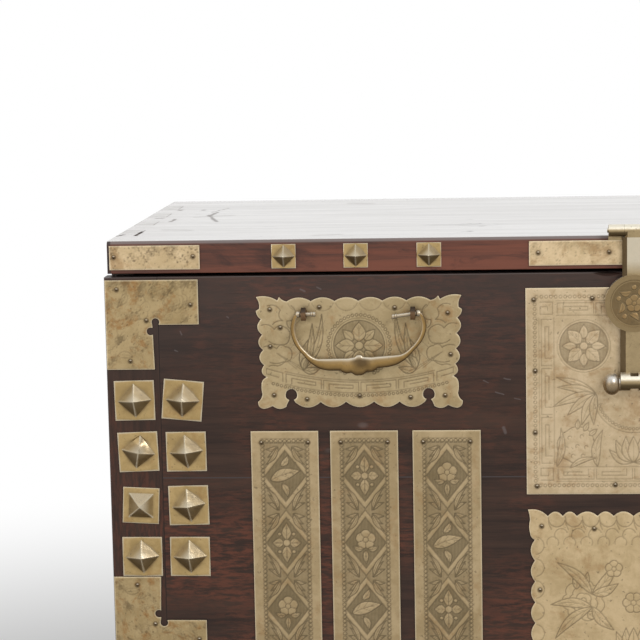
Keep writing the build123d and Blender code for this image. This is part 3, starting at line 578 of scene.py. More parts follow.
class Canvas:
    """A metal sheet on a regular grid, in millimetres from the middle of its piece.

    Its surface is the point (x, y, z) with y up the chest and z out of the wood, where z is thick +
    rise less the depth of its strokes and ground.  Its four masks run from 0 to 1: line for engraved
    strokes, ground for hatched background, a brightening mask for wear and painted highlights along
    the edges, and dark for grime and painted shade."""

    GROUND_DEPTH = 0.10

    def __init__(self, width, height, step, thick):
        self.xs = np.linspace(-width / 2, width / 2, round(width / step) + 1)
        self.ys = np.linspace(-height / 2, height / 2, round(height / step) + 1)
        self.x, self.y = np.meshgrid(self.xs, self.ys)
        self.step = step
        self.thick = thick
        for field in ("rise", "line", "ground", "polish", "dark"):
            setattr(self, field, np.zeros(self.x.shape))
        self.stroke_half = sizes().stroke
        self.stroke_depth = sizes().depth

    def height(self):
        """z of the surface."""
        return self.thick + self.rise - self.stroke_depth * self.line - self.GROUND_DEPTH * self.ground

    def window(self, low, high):
        """The rows and columns of the grid between two corners."""
        columns = np.searchsorted(self.xs, (low[0], high[0]))
        rows = np.searchsorted(self.ys, (low[1], high[1]))
        return slice(*rows), slice(*columns)

    def near(self, path, reach):
        """Distance from each grid point to a polyline; whatever is farther than reach gets reach."""
        field = np.full(self.x.shape, float(reach))
        path = np.asarray(path, float)
        for a, b in zip(path[:-1], path[1:]):
            part = self.window(np.minimum(a, b) - reach, np.maximum(a, b) + reach)
            along = b - a
            px, py = self.x[part] - a[0], self.y[part] - a[1]
            t = np.clip((px * along[0] + py * along[1]) / max(along @ along, 1e-9), 0.0, 1.0)
            gap = np.hypot(px - t * along[0], py - t * along[1])
            field[part] = np.minimum(field[part], gap)
        return field

    def within(self, path):
        """True inside a closed path: an odd number of its edges lie to the right."""
        path = np.asarray(path, float)
        part = self.window(path.min(0), path.max(0) + self.step)
        x, y = self.x[part], self.y[part]
        odd = np.zeros(x.shape, bool)
        for (x0, y0), (x1, y1) in zip(path, np.roll(path, -1, axis=0)):
            if y0 != y1:
                odd ^= ((y > y0) != (y > y1)) & (x < x0 + (y - y0) * (x1 - x0) / (y1 - y0))
        inside = np.zeros(self.x.shape, bool)
        inside[part] = odd
        return inside

    def signed(self, path, reach):
        """Distance to a closed path, negative inside it."""
        gap = self.near(np.concatenate((path, path[:1])), reach)
        return np.where(self.within(path), -gap, gap)

    def cover(self, path):
        """1 inside a closed path and 0 outside, soft over its edge."""
        return np.clip(0.5 - self.signed(path, 1.0), 0.0, 1.0)

    def engrave(self, path, weight=1.0, width=1.0):
        """Cuts a line of round section along a polyline."""
        half = self.stroke_half * width
        cut = weight * np.clip(1.0 - (self.near(path, half) / half) ** 2, 0.0, 1.0)
        self.line = np.maximum(self.line, cut)

    def motif(self, path, rise=0.10, weight=1.0):
        """Raises a closed shape out of the hatched ground and engraves its edge."""
        mask = self.cover(path)
        self.ground *= 1.0 - mask
        self.line *= 1.0 - mask
        self.rise += rise * mask
        self.engrave(np.concatenate((path, path[:1])), weight)

    def beads(self, path, pitch=4.1, radius=1.25):
        """A chain of small punched rings: a raised dot in a round groove at each point."""
        for centre in spaced(path, pitch):
            reach = radius + self.stroke_half
            part = self.window(centre - reach, centre + reach)
            r = np.hypot(self.x[part] - centre[0], self.y[part] - centre[1])
            ring = np.clip(1.0 - ((r - radius) / (self.stroke_half * 0.9)) ** 2, 0.0, 1.0)
            self.line[part] = np.maximum(self.line[part], 0.9 * ring)
            self.rise[part] += 0.12 * np.clip(1.0 - (r / radius) ** 2, 0.0, 1.0)

    def leaf(self, base, tip, width, bend=0.0, veins=0):
        """A leaf with its midrib, and veins that slant from the midrib to its edge."""
        edge, middle = leaf_outline(base, tip, width, bend)
        self.motif(edge)
        self.engrave(middle[:-2], 0.7, 0.7)
        half = len(middle)
        for k in range(1, veins + 1):
            at = k * half // (veins + 2)
            ahead = min(at + half // (veins + 2) + 1, half - 1)
            for side in (edge[ahead], edge[2 * half - 1 - ahead]):
                self.engrave(np.stack((middle[at], side)), 0.55, 0.6)

    def blossom(self, centre, radius, petals, turn=0.0):
        """A flower: petals with a line between each pair, and a ringed middle."""
        self.motif(petal_outline(centre, radius, petals, turn), 0.14)
        for k in range(petals):
            way, _ = compass(turn + 360.0 * (k + 0.5) / petals)
            self.engrave(np.stack((centre + way * radius * 0.30, centre + way * radius * 0.80)), 0.8, 0.8)
        self.engrave(arc(centre, radius * 0.26, count=20), 0.9, 0.8)

    def nail_stains(self, points, reach=3.6):
        """A narrow black ring close round each nail, painted shade where its head meets the sheet, in a faint
        wider stain; round the handles' eyes that wider stain is painted shade.
        """
        for x, y in points:
            r = np.hypot(self.x - x, self.y - y)
            ring = np.clip(1.3 - np.abs(r - NAIL_RING) / 0.8, 0.0, 1.0)
            stain = 0.30 * np.clip(1.0 - (r / reach) ** 2, 0.0, 1.0)
            self.dark = np.maximum(self.dark, np.maximum(ring, stain))

    def mirrored(self, across_x=False, across_y=False):
        """The same design turned over left to right, top to bottom, or both."""
        twin = Canvas.__new__(Canvas)
        twin.__dict__.update(self.__dict__)
        for name in ("rise", "line", "ground", "polish", "dark"):
            field = getattr(self, name)
            field = field[:, ::-1] if across_x else field
            setattr(twin, name, (field[::-1] if across_y else field).copy())
        return twin


def ripple(x, y, seed, length):
    """Smooth unevenness from -1 to 1: the mean of six sine waves in random directions."""
    random = np.random.default_rng(seed)
    total = np.zeros(np.shape(x))
    for _ in range(6):
        angle, phase = random.uniform(0.0, 2 * math.pi, 2)
        pitch = length * random.uniform(0.6, 1.6)
        total += np.sin((x * math.cos(angle) + y * math.sin(angle)) * 2 * math.pi / pitch + phase)
    return total / 6.0


# ---- Meshes ----------------------------------------------------------------------------------
def on_front(centre):
    """Turns local millimetres (right, up, out) into metres on the front face, about a centre."""
    def place(x, y, z):
        return np.stack((centre[0] + x * MM, FACE_Y - z * MM, centre[1] + y * MM), -1)
    return place


def on_end(sign, centre):
    """The same on an end of the chest; local x runs to the back on the right-hand end."""
    def place(x, y, z):
        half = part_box("side_board_right")[1].x
        return np.stack((sign * (half + z * MM), centre[0] + sign * x * MM, centre[1] + y * MM), -1)
    return place


def linked(name, data):
    """A new object in the scene."""
    made = bpy.data.objects.new(name, data)
    bpy.context.scene.collection.objects.link(made)
    return made


def new_piece(name, points, faces, body, material, finish=None, sharp=None, node=None):
    """A mesh object from whole arrays, its finish attribute, its body and its slot."""
    mesh = bpy.data.meshes.new(name)
    mesh.from_pydata(points.tolist(), [], faces)
    if finish is not None:
        finish = np.array(finish, np.float32)
        dirt = mesh.attributes.new("dirt", "FLOAT", "POINT")
        dirt.data.foreach_set("value", finish[:, 3].copy())
        finish[:, 3] = 1.0
        layer = mesh.color_attributes.new("finish", "FLOAT_COLOR", "POINT")
        layer.data.foreach_set("color", finish.ravel())
    mesh.shade_smooth()
    if sharp is not None:
        mesh.set_sharp_from_angle(angle=math.radians(sharp))
    mesh.validate()
    mesh.materials.append(material)
    piece = linked(name, mesh)
    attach(piece, body)
    if node:
        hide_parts(node)
    return piece


def close_holes(piece):
    """Closes the open back of a sheet with one face."""
    mesh = bmesh.new()
    mesh.from_mesh(piece.data)
    bmesh.ops.holes_fill(mesh, edges=[edge for edge in mesh.edges if edge.is_boundary], sides=0)
    mesh.to_mesh(piece.data)
    mesh.free()


def nearest_on(path, x, y):
    """The nearest point of a closed polyline to each of a row of points."""
    ax, ay = path.T
    dx, dy = (np.roll(path, -1, axis=0) - path).T
    t = (x[:, None] - ax) * dx + (y[:, None] - ay) * dy
    t = np.clip(t / np.maximum(dx ** 2 + dy ** 2, 1e-9), 0.0, 1.0)
    qx, qy = ax + t * dx, ay + t * dy
    best = np.argmin((qx - x[:, None]) ** 2 + (qy - y[:, None]) ** 2, axis=1)
    rows = np.arange(len(x))
    return qx[rows, best], qy[rows, best]


def sheet_piece(name, canvas, place, body, material, outline=None, node=None, sink=0.15):
    """A sheet as one closed mesh: the grid inside its outline, a rim down into the wood, and a back.

    Points of the grid that end up on the border are moved on to the outline."""
    index = np.arange(canvas.x.size).reshape(canvas.x.shape)
    quads = np.stack((index[:-1, :-1], index[:-1, 1:], index[1:, 1:], index[1:, :-1]), -1).reshape(-1, 4)
    x, y = canvas.x.ravel().copy(), canvas.y.ravel().copy()
    if outline is not None:
        gap = canvas.signed(outline, 3.0 * canvas.step).ravel()
        quads = quads[(gap[quads] < canvas.step / 2).all(1)]
        count = np.bincount(quads.ravel(), minlength=x.size)
        border = np.flatnonzero((count > 0) & (count < 4))
        x[border], y[border] = nearest_on(outline, x[border], y[border])
    edges = np.concatenate([quads[:, (k, (k + 1) % 4)] for k in range(4)])
    forward, backward = edges[:, 0] * x.size + edges[:, 1], edges[:, 1] * x.size + edges[:, 0]
    rim = edges[~np.isin(forward, backward)]
    ring = np.unique(rim)
    used = np.unique(quads)
    renumber = np.full(x.size, -1)
    renumber[used] = np.arange(used.size)
    below = np.full(x.size, -1)
    below[ring] = used.size + np.arange(ring.size)
    walls = np.stack((renumber[rim[:, 0]], below[rim[:, 0]], below[rim[:, 1]], renumber[rim[:, 1]]), -1)
    z = canvas.height().ravel()
    points = np.concatenate((place(x[used], y[used], z[used]),
                             place(x[ring], y[ring], np.full(ring.size, -sink))))
    marks = [field.ravel() for field in (canvas.line, canvas.ground, canvas.polish, canvas.dark)]
    marks = np.stack(marks, -1)
    finish = np.concatenate((marks[used], marks[ring] * (0.0, 0.0, 1.0, 0.0)))
    faces = np.concatenate((renumber[quads], walls)).tolist()
    close_holes(new_piece(name, points, faces, body, material, finish, 50.0, node))


def finish_edges(canvas, outline, seed, polish=0.9, wave=0.22):
    """Rounds the rim, brightens it as wear and a painted highlight, and gives the sheet the slight waviness
    of hammered metal.
    """
    gap = -canvas.signed(outline, 6.0)

    def close_to_edge(reach):
        return np.clip(1.0 - gap / reach, 0.0, 1.0)

    canvas.rise += wave * ripple(canvas.x, canvas.y, seed, 55.0) - 0.35 * close_to_edge(1.6) ** 2
    canvas.polish = np.maximum(canvas.polish, polish * close_to_edge(1.1))
    patchy = np.clip(ripple(canvas.x, canvas.y, seed + 1, 30.0) * 1.5, 0.0, 1.0)
    canvas.dark = np.maximum(canvas.dark, 0.22 * patchy * close_to_edge(5.0))


def fanned(rings, sides):
    """Quads between neighbouring rings of points, and a fan of triangles at each end round a point
    that follows the rings: first the one for the first ring, then the one for the last.

    They point outwards where each ring turns anticlockwise as seen from the first end."""
    index = np.arange(rings * sides).reshape(rings, sides)
    after = np.roll(index, -1, axis=1)
    quads = np.stack((index[:-1], index[1:], after[1:], after[:-1]), -1).reshape(-1, 4).tolist()
    first, last = rings * sides, rings * sides + 1
    caps = [[first, index[0, k], after[0, k]] for k in range(sides)]
    caps += [[last, after[-1, k], index[-1, k]] for k in range(sides)]
    return quads + caps


def ring_faces(rings, sides):
    """Quads between neighbouring rings of points, and one face at each end.

    They point outwards where each ring turns anticlockwise as seen from the last end."""
    index = np.arange(rings * sides).reshape(rings, sides)
    after = np.roll(index, -1, axis=1)
    quads = np.stack((index[:-1], after[:-1], after[1:], index[1:]), -1).reshape(-1, 4).tolist()
    return quads + [index[0][::-1].tolist(), index[-1].tolist()]


def turned(profile, turns):
    """A surface of revolution about the local x axis: rings of the profile's (x, radius) points,
    each end closed by a point on the axis.  Returns points and faces, which point outwards where the
    profile runs towards -x."""
    profile = np.asarray(profile, float)
    angle = np.linspace(0.0, 2 * math.pi, turns, endpoint=False)
    x = np.repeat(profile[:, 0], turns)
    y = np.outer(profile[:, 1], np.cos(angle)).ravel()
    z = np.outer(profile[:, 1], np.sin(angle)).ravel()
    ends = [(profile[0, 0], 0.0, 0.0), (profile[-1, 0], 0.0, 0.0)]
    return np.concatenate((np.stack((x, y, z), -1), ends)), fanned(len(profile), turns)


def joined(parts):
    """Several (points, faces) as one."""
    points, faces, start = [], [], 0
    for more, polygons in parts:
        points.append(more)
        faces += [[start + k for k in face] for face in polygons]
        start += len(more)
    return np.concatenate(points), faces


def sizes():
    return bpy.context.scene.bandaji_sizes


def colours():
    return bpy.context.scene.bandaji_colours


def material(name):
    return bpy.data.materials[name]


def middle_of(node):
    """Centre (x, z) of a node in metres, and its width and height in millimetres."""
    low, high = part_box(node)
    centre = ((low.x + high.x) / 2, (low.z + high.z) / 2)
    return centre, (high.x - low.x) / MM, (high.z - low.z) / MM


# ---- Traditional patterns --------------------------------------------------------------------
KEY_FRET = (
    ((0.03, 1.0), (0.03, 0.0), (0.97, 0.0), (0.97, 1.0)),
    ((0.18, 1.0), (0.18, 0.36), (0.82, 0.36), (0.82, 0.72), (0.34, 0.72)),
)


def fret_band(canvas, place, length, depth, unit):
    """A key fret: nested hooks repeated along a band; place turns (along, across) into (x, y)."""
    count = max(1, round(length / unit))
    pitch = length / count
    for k in range(count):
        for path in KEY_FRET:
            path = np.asarray(path)
            along = dense(np.stack(((k + path[:, 0]) * pitch, path[:, 1] * depth), -1))
            canvas.engrave(place(along[:, 0], along[:, 1]), 0.75)
    for across in (-0.22 * depth, 1.22 * depth):
        edge = np.linspace(0.0, length, 60)
        canvas.engrave(place(edge, np.full(60, across)), 0.6)


def fret_frame(canvas, half_x, half_y, depth, unit):
    """The key fret round a rectangle, with a square spiral in each corner."""
    for turn in range(4):
        cos, sin = compass(turn * 90.0)[0]
        reach, run = (half_x, half_y) if turn % 2 else (half_y, half_x)
        length = 2 * (run - 1.45 * depth)

        def place(along, across):
            x, y = along - length / 2, reach - across
            return np.stack((x * cos - y * sin, x * sin + y * cos), -1)

        fret_band(canvas, place, length, depth, unit)
    hook = np.array(((-0.6, -0.6), (0.6, -0.6), (0.6, 0.6), (-0.6, 0.6), (-0.6, -0.15), (0.12, -0.15),
                     (0.12, 0.2)))
    for sx, sy in CORNERS:
        corner = np.array((sx * (half_x - depth / 2), sy * (half_y - depth / 2)))
        canvas.engrave(corner + hook * depth * np.array((-sx, -sy)), 0.75)


def roundel(canvas, centre, radius, turn=0.0, shade=1.0):
    """A hatched disc with eight overlapping petals in two sizes, ringed by a double line."""
    disc = arc(centre, radius)
    canvas.ground = np.maximum(canvas.ground, shade * canvas.cover(disc))
    for k in range(4):
        way, side = compass(turn + 90.0 * k)
        canvas.leaf(centre + way * radius * 0.16, centre + way * radius * 0.94, radius * 0.54, 0.0, 2)
        corner = (way + side) / math.sqrt(2.0)
        canvas.leaf(centre + corner * radius * 0.30, centre + corner * radius * 0.90, radius * 0.34)
    canvas.motif(arc(centre, radius * 0.17, count=20))
    canvas.engrave(disc, 1.0)
    canvas.engrave(arc(centre, radius + 2.2), 0.7, 0.8)


# ---- Lock plate ------------------------------------------------------------------------------
LOCK_NAILS = ((-90.2, 84.8), (-37.2, 85.6), (-89.2, 19.2), (-89.5, -38.0), (-88.0, -88.2), (-16.6, -87.1))
LOCK_ROUNDELS = (44.9, 42.0)      # right and up of the middle of the plate
LOCK_FRET = 9.4                   # depth of the fret band
LOCK_FRET_IN = 14.0               # from the edge of the plate to the fret band
LOCK_CHAIN = 8.2                  # from the edge of the plate to the chain of beads


def lock_canvas():
    """The square plate: a chain of beads and a key fret round flowers, rays, fruit and a lotus."""
    _, width, height = middle_of("lock_plate")
    canvas = Canvas(width, height, sizes().fine_step, SHEET_T)
    chain = rectangle(width - 2 * LOCK_CHAIN, height - 2 * LOCK_CHAIN)
    canvas.beads(np.concatenate((chain, chain[:1])), 4.3, 1.35)
    fret_frame(canvas, width / 2 - LOCK_FRET_IN, height / 2 - LOCK_FRET_IN, LOCK_FRET, 39.0)
    for sign in (-1, 1):
        roundel(canvas, np.array((sign * LOCK_ROUNDELS[0], LOCK_ROUNDELS[1])), 22.0, 45.0)
        rays(canvas, sign)
        fruit(canvas, sign)
    canvas.beads(arc((0.0, -2.0), 33.0, 200.0, 340.0, 80), 3.4, 1.2)
    canvas.engrave(arc((0.0, -2.0), 36.6, 196.0, 344.0, 80), 0.7)
    lotus(canvas, np.array((0.0, -66.0)))
    canvas.nail_stains([(sign * x, y) for x, y in LOCK_NAILS for sign in (-1, 1)], 4.4)
    finish_edges(canvas, rectangle(width, height), 3, wave=0.14)
    return canvas


def rays(canvas, sign):
    """Long pointed leaves that fan out below a roundel."""
    for x, y, width in ((70, 13, 6), (69, 4, 7), (73, -14, 8), (60, -22, 8), (47, -31, 9), (36, -31, 7)):
        canvas.leaf((sign * 34.0, -2.0), (sign * x, y), width, 0.05 * sign)


def fruit(canvas, sign):
    """A pomegranate leaning outwards, with comma-shaped seeds and a crown."""
    centre = np.array((sign * 52.0, -50.0))
    axis = 90.0 + sign * 28.0
    canvas.motif(petal_outline(centre, 17.5, 3, axis, 0.12), 0.18)
    for seed in ((-6, 7), (5, 8), (-9, -3), (1, -1), (9, -2), (-3, -10), (6, -10)):
        canvas.engrave(arc(centre + seed, 1.7, 20.0, 230.0, 10), 1.0, 0.8)
    for lean in (-24, 0, 24):
        way, _ = compass(axis + lean)
        canvas.leaf(centre + way * 15.0, centre + way * 24.0, 4.4)
    canvas.leaf((sign * 70.0, -70.0), (sign * 66.0, -34.0), 6.0, 0.08 * sign, 3)
    canvas.leaf((sign * 33.0, -70.0), (sign * 28.0, -36.0), 8.0, -0.10 * sign, 3)
    canvas.leaf((sign * 58.0, -71.0), (sign * 34.0, -62.0), 5.0, 0.10)


def lotus(canvas, centre):
    """A lotus seen from the side: a middle petal between pairs that open outwards."""
    for lean, length, width in ((62, 25, 8), (38, 26, 9), (16, 25, 9)):
        for sign in (-1, 1):
            way, _ = compass(90.0 + sign * lean)
            canvas.leaf(centre, centre + way * length, width, 0.12 * sign)
    canvas.leaf(centre, centre + np.array((0.0, 24.0)), 10.0)


# ---- Handle plates ---------------------------------------------------------------------------
HANDLE_NAILS = (
    (-81.8, 40.5), (-36.1, 42.3), (33.1, 41.2), (81.5, 36.0), (-72.4, 23.7), (-82.1, 6.1), (83.8, -2.4),
    (-79.4, -39.2), (-48.9, -43.2), (-0.3, -40.3), (46.6, -42.1), (78.3, -40.5))
HANDLE_ROUNDEL = (np.array((0.0, 6.4)), 23.4)
BAND_DEPTH = 8.2
HANDLE_Z = 0.697                  # height of the plate's zero


def handle_outline():
    """Six scallops above, leaf tips at the corners, lobes at the sides, five scallops below and two
    keyholes that open downwards."""
    left = [(0.0, 47.8, 0.0)]
    left += lobes((0, 47.8), (-65.9, 48.0), 3, 3.5)
    left += [(-73.0, 52.4, -1.0), (-74.6, 48.8, 0.0), (-94.4, 52.3, 2.2), (-91.6, 41.4, -1.2)]
    left += [(-94.6, 39.4, 0.0), (-90.0, 31.6, 1.2)]
    left += lobes((-90.0, 31.6), (-88.0, -11.2), 3, 3.9)
    left += [(-85.6, -22.4, 3.6), (-90.6, -27.4, 1.0), (-90.2, -38.0, 0.6), (-94.4, -45.4, -1.0)]
    left += [(-89.0, -52.0, 2.0), (-81.0, -49.2, 0.4), (-68.3, -50.1, 2.4), (-65.2, -43.8, -0.4)]
    left += [(-68.7, -38.8, -1.3), (-63.4, -33.5, -1.55), (-58.1, -38.8, -1.55), (-61.6, -43.8, -1.3)]
    left += [(-59.9, -46.0, -0.2)]
    left += lobes((-59.9, -46.0), (-12.9, -45.8), 2, 5.0)
    return both_halves(left, 5.0)[:-1]


def band_top(x):
    """Height of the upper edge of the drooping fret band: a parabola."""
    return -27.6 + 14.0 * (x / 88.0) ** 2


def handle_canvas():
    """The plate behind a handle: a roundel among leaves and clouds over a drooping key fret."""
    outline = handle_outline()
    canvas = Canvas(*(2.0 * np.abs(outline).max(0)), sizes().fine_step, SHEET_T)
    centre, radius = HANDLE_ROUNDEL
    for sign in (-1, 1):
        clouds(canvas, sign)
        for x, y, bend in ((34, 36, 0.10), (43, 27, 0.06), (47, 12, -0.08), (45, -2, -0.12), (36, -14, 0.1)):
            canvas.leaf((sign * 52.0, -16.0), (sign * x, y), 6.4, bend * sign, 2)
        for x, y in ((42, -20), (50, -18), (58, -15), (64, -8)):
            canvas.engrave(((sign * 76.0, 0.0), (sign * x, y)), 0.6, 0.8)
        for x, y in ((31, 30), (37, 24), (40, 16), (38, 6), (36, -4), (33, -12)):
            canvas.engrave(((sign * 51.0, -14.0), (sign * x, y)), 0.5, 0.7)
            canvas.engrave(((sign * (x + 26.0), y - 2.0), (sign * (x + 19.0), y + 5.0)), 0.45, 0.7)
    for x in np.linspace(-55.0, 55.0, 6):
        canvas.engrave(arc((x, 49.5), 10.5, 200.0, 340.0, 16), 0.45)
    roundel(canvas, centre, radius, shade=0.7)
    canvas.beads(arc(centre, radius + 5.2, -62.0, 242.0, 90), 3.9, 1.3)

    def place(along, across):
        x = along - 69.0
        return np.stack((x, band_top(x) - across), -1)

    from_band = np.abs(canvas.y - band_top(canvas.x) + BAND_DEPTH / 2 + 0.5)
    outside = 1.0 - np.clip(1.0 - from_band + BAND_DEPTH / 2 + 2.5, 0.0, 1.0)
    canvas.line *= outside
    canvas.rise *= outside
    canvas.ground *= outside
    fret_band(canvas, place, 138.0, BAND_DEPTH, 34.5)
    hook = np.array(((140.0, 8.0), (140.0, 0.0), (155.0, 0.0), (155.0, 5.0), (144.0, 5.0)))
    for end in (hook, hook * (-1.0, 1.0) + (138.0, 0.0)):
        run = dense(end)
        canvas.engrave(place(run[:, 0], run[:, 1]), 0.75)
    chain = np.linspace(-80.0, 80.0, 60)
    canvas.beads(np.stack((chain, band_top(chain) - BAND_DEPTH - 4.2), -1), 3.9, 1.15)
    canvas.nail_stains(HANDLE_NAILS, 3.8)
    # painted shade round the handles' eyes
    canvas.nail_stains([(-EYE_X, EYE_Y), (EYE_X, EYE_Y)], 9.0)
    finish_edges(canvas, outline, 11)
    return canvas, outline


def clouds(canvas, sign):
    """Leaves drawn as rows of lobes that follow the scalloped edge of the plate."""
    for path in ([(84, 44, 0), (72, 40, 3), (70, 30, -3), (80, 26, -2)],
                 [(90, 26, 0), (78, 22, 3), (68, 24, 3), (64, 14, 3), (72, 8, 3), (84, 12, 2)],
                 [(88, 6, 0), (76, 4, 2), (68, 6, 3), (62, -2, 3), (70, -8, 3), (84, -8, 2)],
                 [(62, 44, 0), (58, 34, 2), (66, 30, 2), (62, 22, -2)],
                 [(86, -14, 0), (76, -12, 2), (66, -4, -2)]):
        run = bulging([(sign * x, y, sign * bulge * 0.8) for x, y, bulge in path])
        canvas.engrave(run[:(len(path) - 1) * 12], 0.8)


def peony(canvas, centre, radius, sign):
    """A full flower: three rings of petals, each smaller and turned further, among four leaves."""
    for scale, petals in ((1.0, 7), (0.68, 5), (0.38, 4)):
        canvas.motif(petal_outline(centre, radius * scale, petals, 20.0 * sign / scale, 0.20), 0.08, 0.85)
    canvas.motif(arc(centre, radius * 0.13, count=12), 0.05)
    way = np.array((sign, 1.0))
    leaves = (((2, 12), (-4, 27)), ((6, 11), (9, 24)), ((-4, -11), (-12, -17)), ((5, -11), (10, -19)))
    for base, tip in leaves:
        canvas.leaf(centre + way * base, centre + way * tip, 7.0, 0.08 * sign, 2)


# ---- Cloud-edged centre plates ---------------------------------------------------------------
CENTRE_NAILS = ((-84.1, -15.6), (-35.9, -18.2), (-86.0, -76.0), (-86.0, -130.0), (-30.0, -136.0))
CENTRE_SCALLOPS = (18.2, 32.8, 51.8, 64.7, 78.4)    # valleys of the upper edge, from the middle


def centre_outline(height):
    """Twelve shallow scallops along the top, six lobes down each side and a straight foot."""
    drop = height - 0.9
    left = [(0, -6.3, 0)] + [(-x, -6.3, 4.3) for x in CENTRE_SCALLOPS]
    left += [(-96.6, 0, 2.6), (-94.8, -10.0, -0.4), (-94.8, -22.0, 0.8), (-90.4, -28.5, 1.2)]
    left += lobes((-90.4, -28.5), (-90.4, -drop), 6, 3.9)
    left = [(x, y + height / 2, bulge) for x, y, bulge in left]
    return both_halves(left)[:-1]


def centre_canvas():
    """The cloud-edged plate: scales along its edges round two peonies, a blossom and a lotus."""
    _, width, height = middle_of("door_centre_plate")
    outline = centre_outline(height)
    canvas = Canvas(width, height, sizes().fine_step * 1.1, SHEET_T)
    top = height / 2
    for x in np.linspace(-70.2, 70.2, 10):
        canvas.engrave(arc((x, top - 9.0), 7.4, 190.0, 350.0, 16), 0.8)
        canvas.engrave(np.array(((x - 7.8, top - 6.5), (x - 7.2, top - 14.0), (x - 5.0, top - 19.0))), 0.8)
        canvas.engrave(arc((x + 3.9, top - 24.0), 6.0, 20.0, 215.0, 16), 0.7)
        canvas.engrave(arc((x - 3.9, top - 31.0), 5.4, 330.0, 560.0, 18), 0.6)
    for sign in (-1, 1):
        for y in np.linspace(top - 34.0, -top + 10.0, 6):
            inwards = 180.0 if sign > 0 else 0.0
            canvas.engrave(arc((sign * 90.5, y), 8.4, inwards - 80.0, inwards + 80.0, 14), 0.7)
        peony(canvas, np.array((sign * 46.0, -12.0)), 20.0, sign)
        for x, y in ((16, 26), (14, 4), (18, -40), (70, 24), (76, -16), (72, -48)):
            root = (sign * 38.0, -6.0 if y > -12 else -18.0)
            canvas.leaf(root, (sign * x, y), 9.0, 0.08 * sign, 3)
        canvas.blossom(np.array((sign * 18.0, 18.0)), 8.0, 5, 18.0)
    lotus(canvas, np.array((0.0, -62.0)))
    canvas.blossom(np.array((0.0, -14.0)), 10.0, 6, 0.0)
    canvas.nail_stains([(sign * x, y + top) for x, y in CENTRE_NAILS for sign in (-1, 1)])
    finish_edges(canvas, outline, 21)
    return canvas, outline


# ---- Hinge straps ----------------------------------------------------------------------------
STRAP_CHAIN = 10.6                # the bead chain inside the strap's edge
LOZENGE_HALF = (24.6, 31.2)
LOZENGE_PITCH = 63.5
LOZENGE_BAND = 4.4
STRAP_NAIL = (21.7, 10.8)         # from the strap's middle and from its free end
STRAP_LOW_NAIL = 12.0             # from the knuckles
STRAP_LIFT = 0.35                 # of the straps above the other sheets
KNUCKLES = 10.0                   # length of a leaf that the knuckles take


def strap_canvas(design, width, length):
    """A strap seen with its free end up: chains of beads round a column of lozenges."""
    canvas = Canvas(width, length, sizes().strap_step, SHEET_T + STRAP_LIFT)
    top = length / 2
    chain_x = width / 2 - STRAP_CHAIN
    field = np.array(((-1, -top + 6.0), (1, -top + 6.0), (1, top - 9.5), (-1, top - 9.5), (-1, -top + 6.0)))
    field = field * (chain_x, 1.0)
    canvas.ground = canvas.cover(field) * 0.55
    slope = np.array((1 / LOZENGE_HALF[0], 1 / LOZENGE_HALF[1]))
    for k in range(math.ceil(length / LOZENGE_PITCH)):
        middle = top - 11.2 - LOZENGE_HALF[1] - k * LOZENGE_PITCH
        away = (1.0 - np.abs(canvas.x) * slope[0] - np.abs(canvas.y - middle) * slope[1]) / np.hypot(*slope)
        inside = (np.abs(canvas.x) < chain_x - 1.5) & (canvas.y < top - 10.0) & (canvas.y > -top + 6.0)
        band = np.clip(LOZENGE_BAND / 2 + 0.5 - np.abs(away - LOZENGE_BAND / 2), 0.0, 1.0) * inside
        canvas.ground = np.where(away > 0.0, np.where(inside, 1.0, canvas.ground), canvas.ground)
        canvas.ground *= 1.0 - band
        canvas.rise += 0.16 * band
        for offset in (0.0, LOZENGE_BAND):
            cut = np.clip(1.0 - ((away - offset) / 0.85) ** 2, 0.0, 1.0) * inside
            canvas.line = np.maximum(canvas.line, 0.75 * cut)
        lozenge_motif(canvas, (design + k) % 3, middle)
        for sx, sy in CORNERS:
            corner_spray(canvas, sx, sy, middle, chain_x, top)
    for x in (-chain_x, chain_x):
        canvas.beads(((x, -top + 7.0), (x, top - 9.5)), 4.0, 1.65)
    canvas.beads(((-chain_x, top - 9.5), (chain_x, top - 9.5)), 4.0, 1.65)
    for offset in (-2.3, 2.3):
        reach = chain_x + offset
        canvas.engrave(((-reach, -top + 4), (-reach, top - 9.5 + offset), (reach, top - 9.5 + offset),
                        (reach, -top + 4)), 0.45, 0.7)
    nail_x, nail_end = STRAP_NAIL
    nails = [(x, y) for x in (-nail_x, nail_x) for y in (top - nail_end, STRAP_LOW_NAIL - top)]
    canvas.nail_stains(nails, 3.2)
    finish_edges(canvas, rectangle(width, length), 31 + design, wave=0.12)
    return canvas


def lozenge_motif(canvas, kind, middle):
    """What fills a lozenge: a broad leaf, a four-petalled blossom or a sprig of three leaves."""
    centre = np.array((0.0, middle))
    if kind == 0:
        canvas.leaf(centre + (-14.0, -4.0), centre + (14.0, 5.0), 11.5, 0.05, 3)
        canvas.leaf(centre + (-3.0, -7.0), centre + (2.0, -20.0), 6.0, 0.1, 1)
        canvas.leaf(centre + (-4.0, 9.0), centre + (3.0, 20.0), 6.0, -0.1, 1)
    elif kind == 1:
        for turn, length in ((0, 13.5), (90, 19.0), (180, 13.5), (270, 19.0)):
            way, _ = compass(turn)
            canvas.leaf(centre + way * 2.6, centre + way * length, 9.0, 0.0, 2)
        canvas.motif(arc(centre, 3.4, count=18), 0.12)
        for sx, sy in CORNERS:
            canvas.motif(arc(centre + (sx * 6.6, sy * 8.4), 1.9, count=12), 0.08)
    else:
        canvas.blossom(centre + (0.0, 3.0), 9.5, 5, 90.0)
        canvas.leaf(centre + (-2.0, -6.0), centre + (-12.0, -3.5), 5.0, 0.12, 1)
        canvas.leaf(centre + (2.0, -6.0), centre + (12.0, -3.5), 5.0, -0.12, 1)
        canvas.leaf(centre + (0.0, -7.0), centre + (0.0, -20.0), 5.4, 0.0, 1)


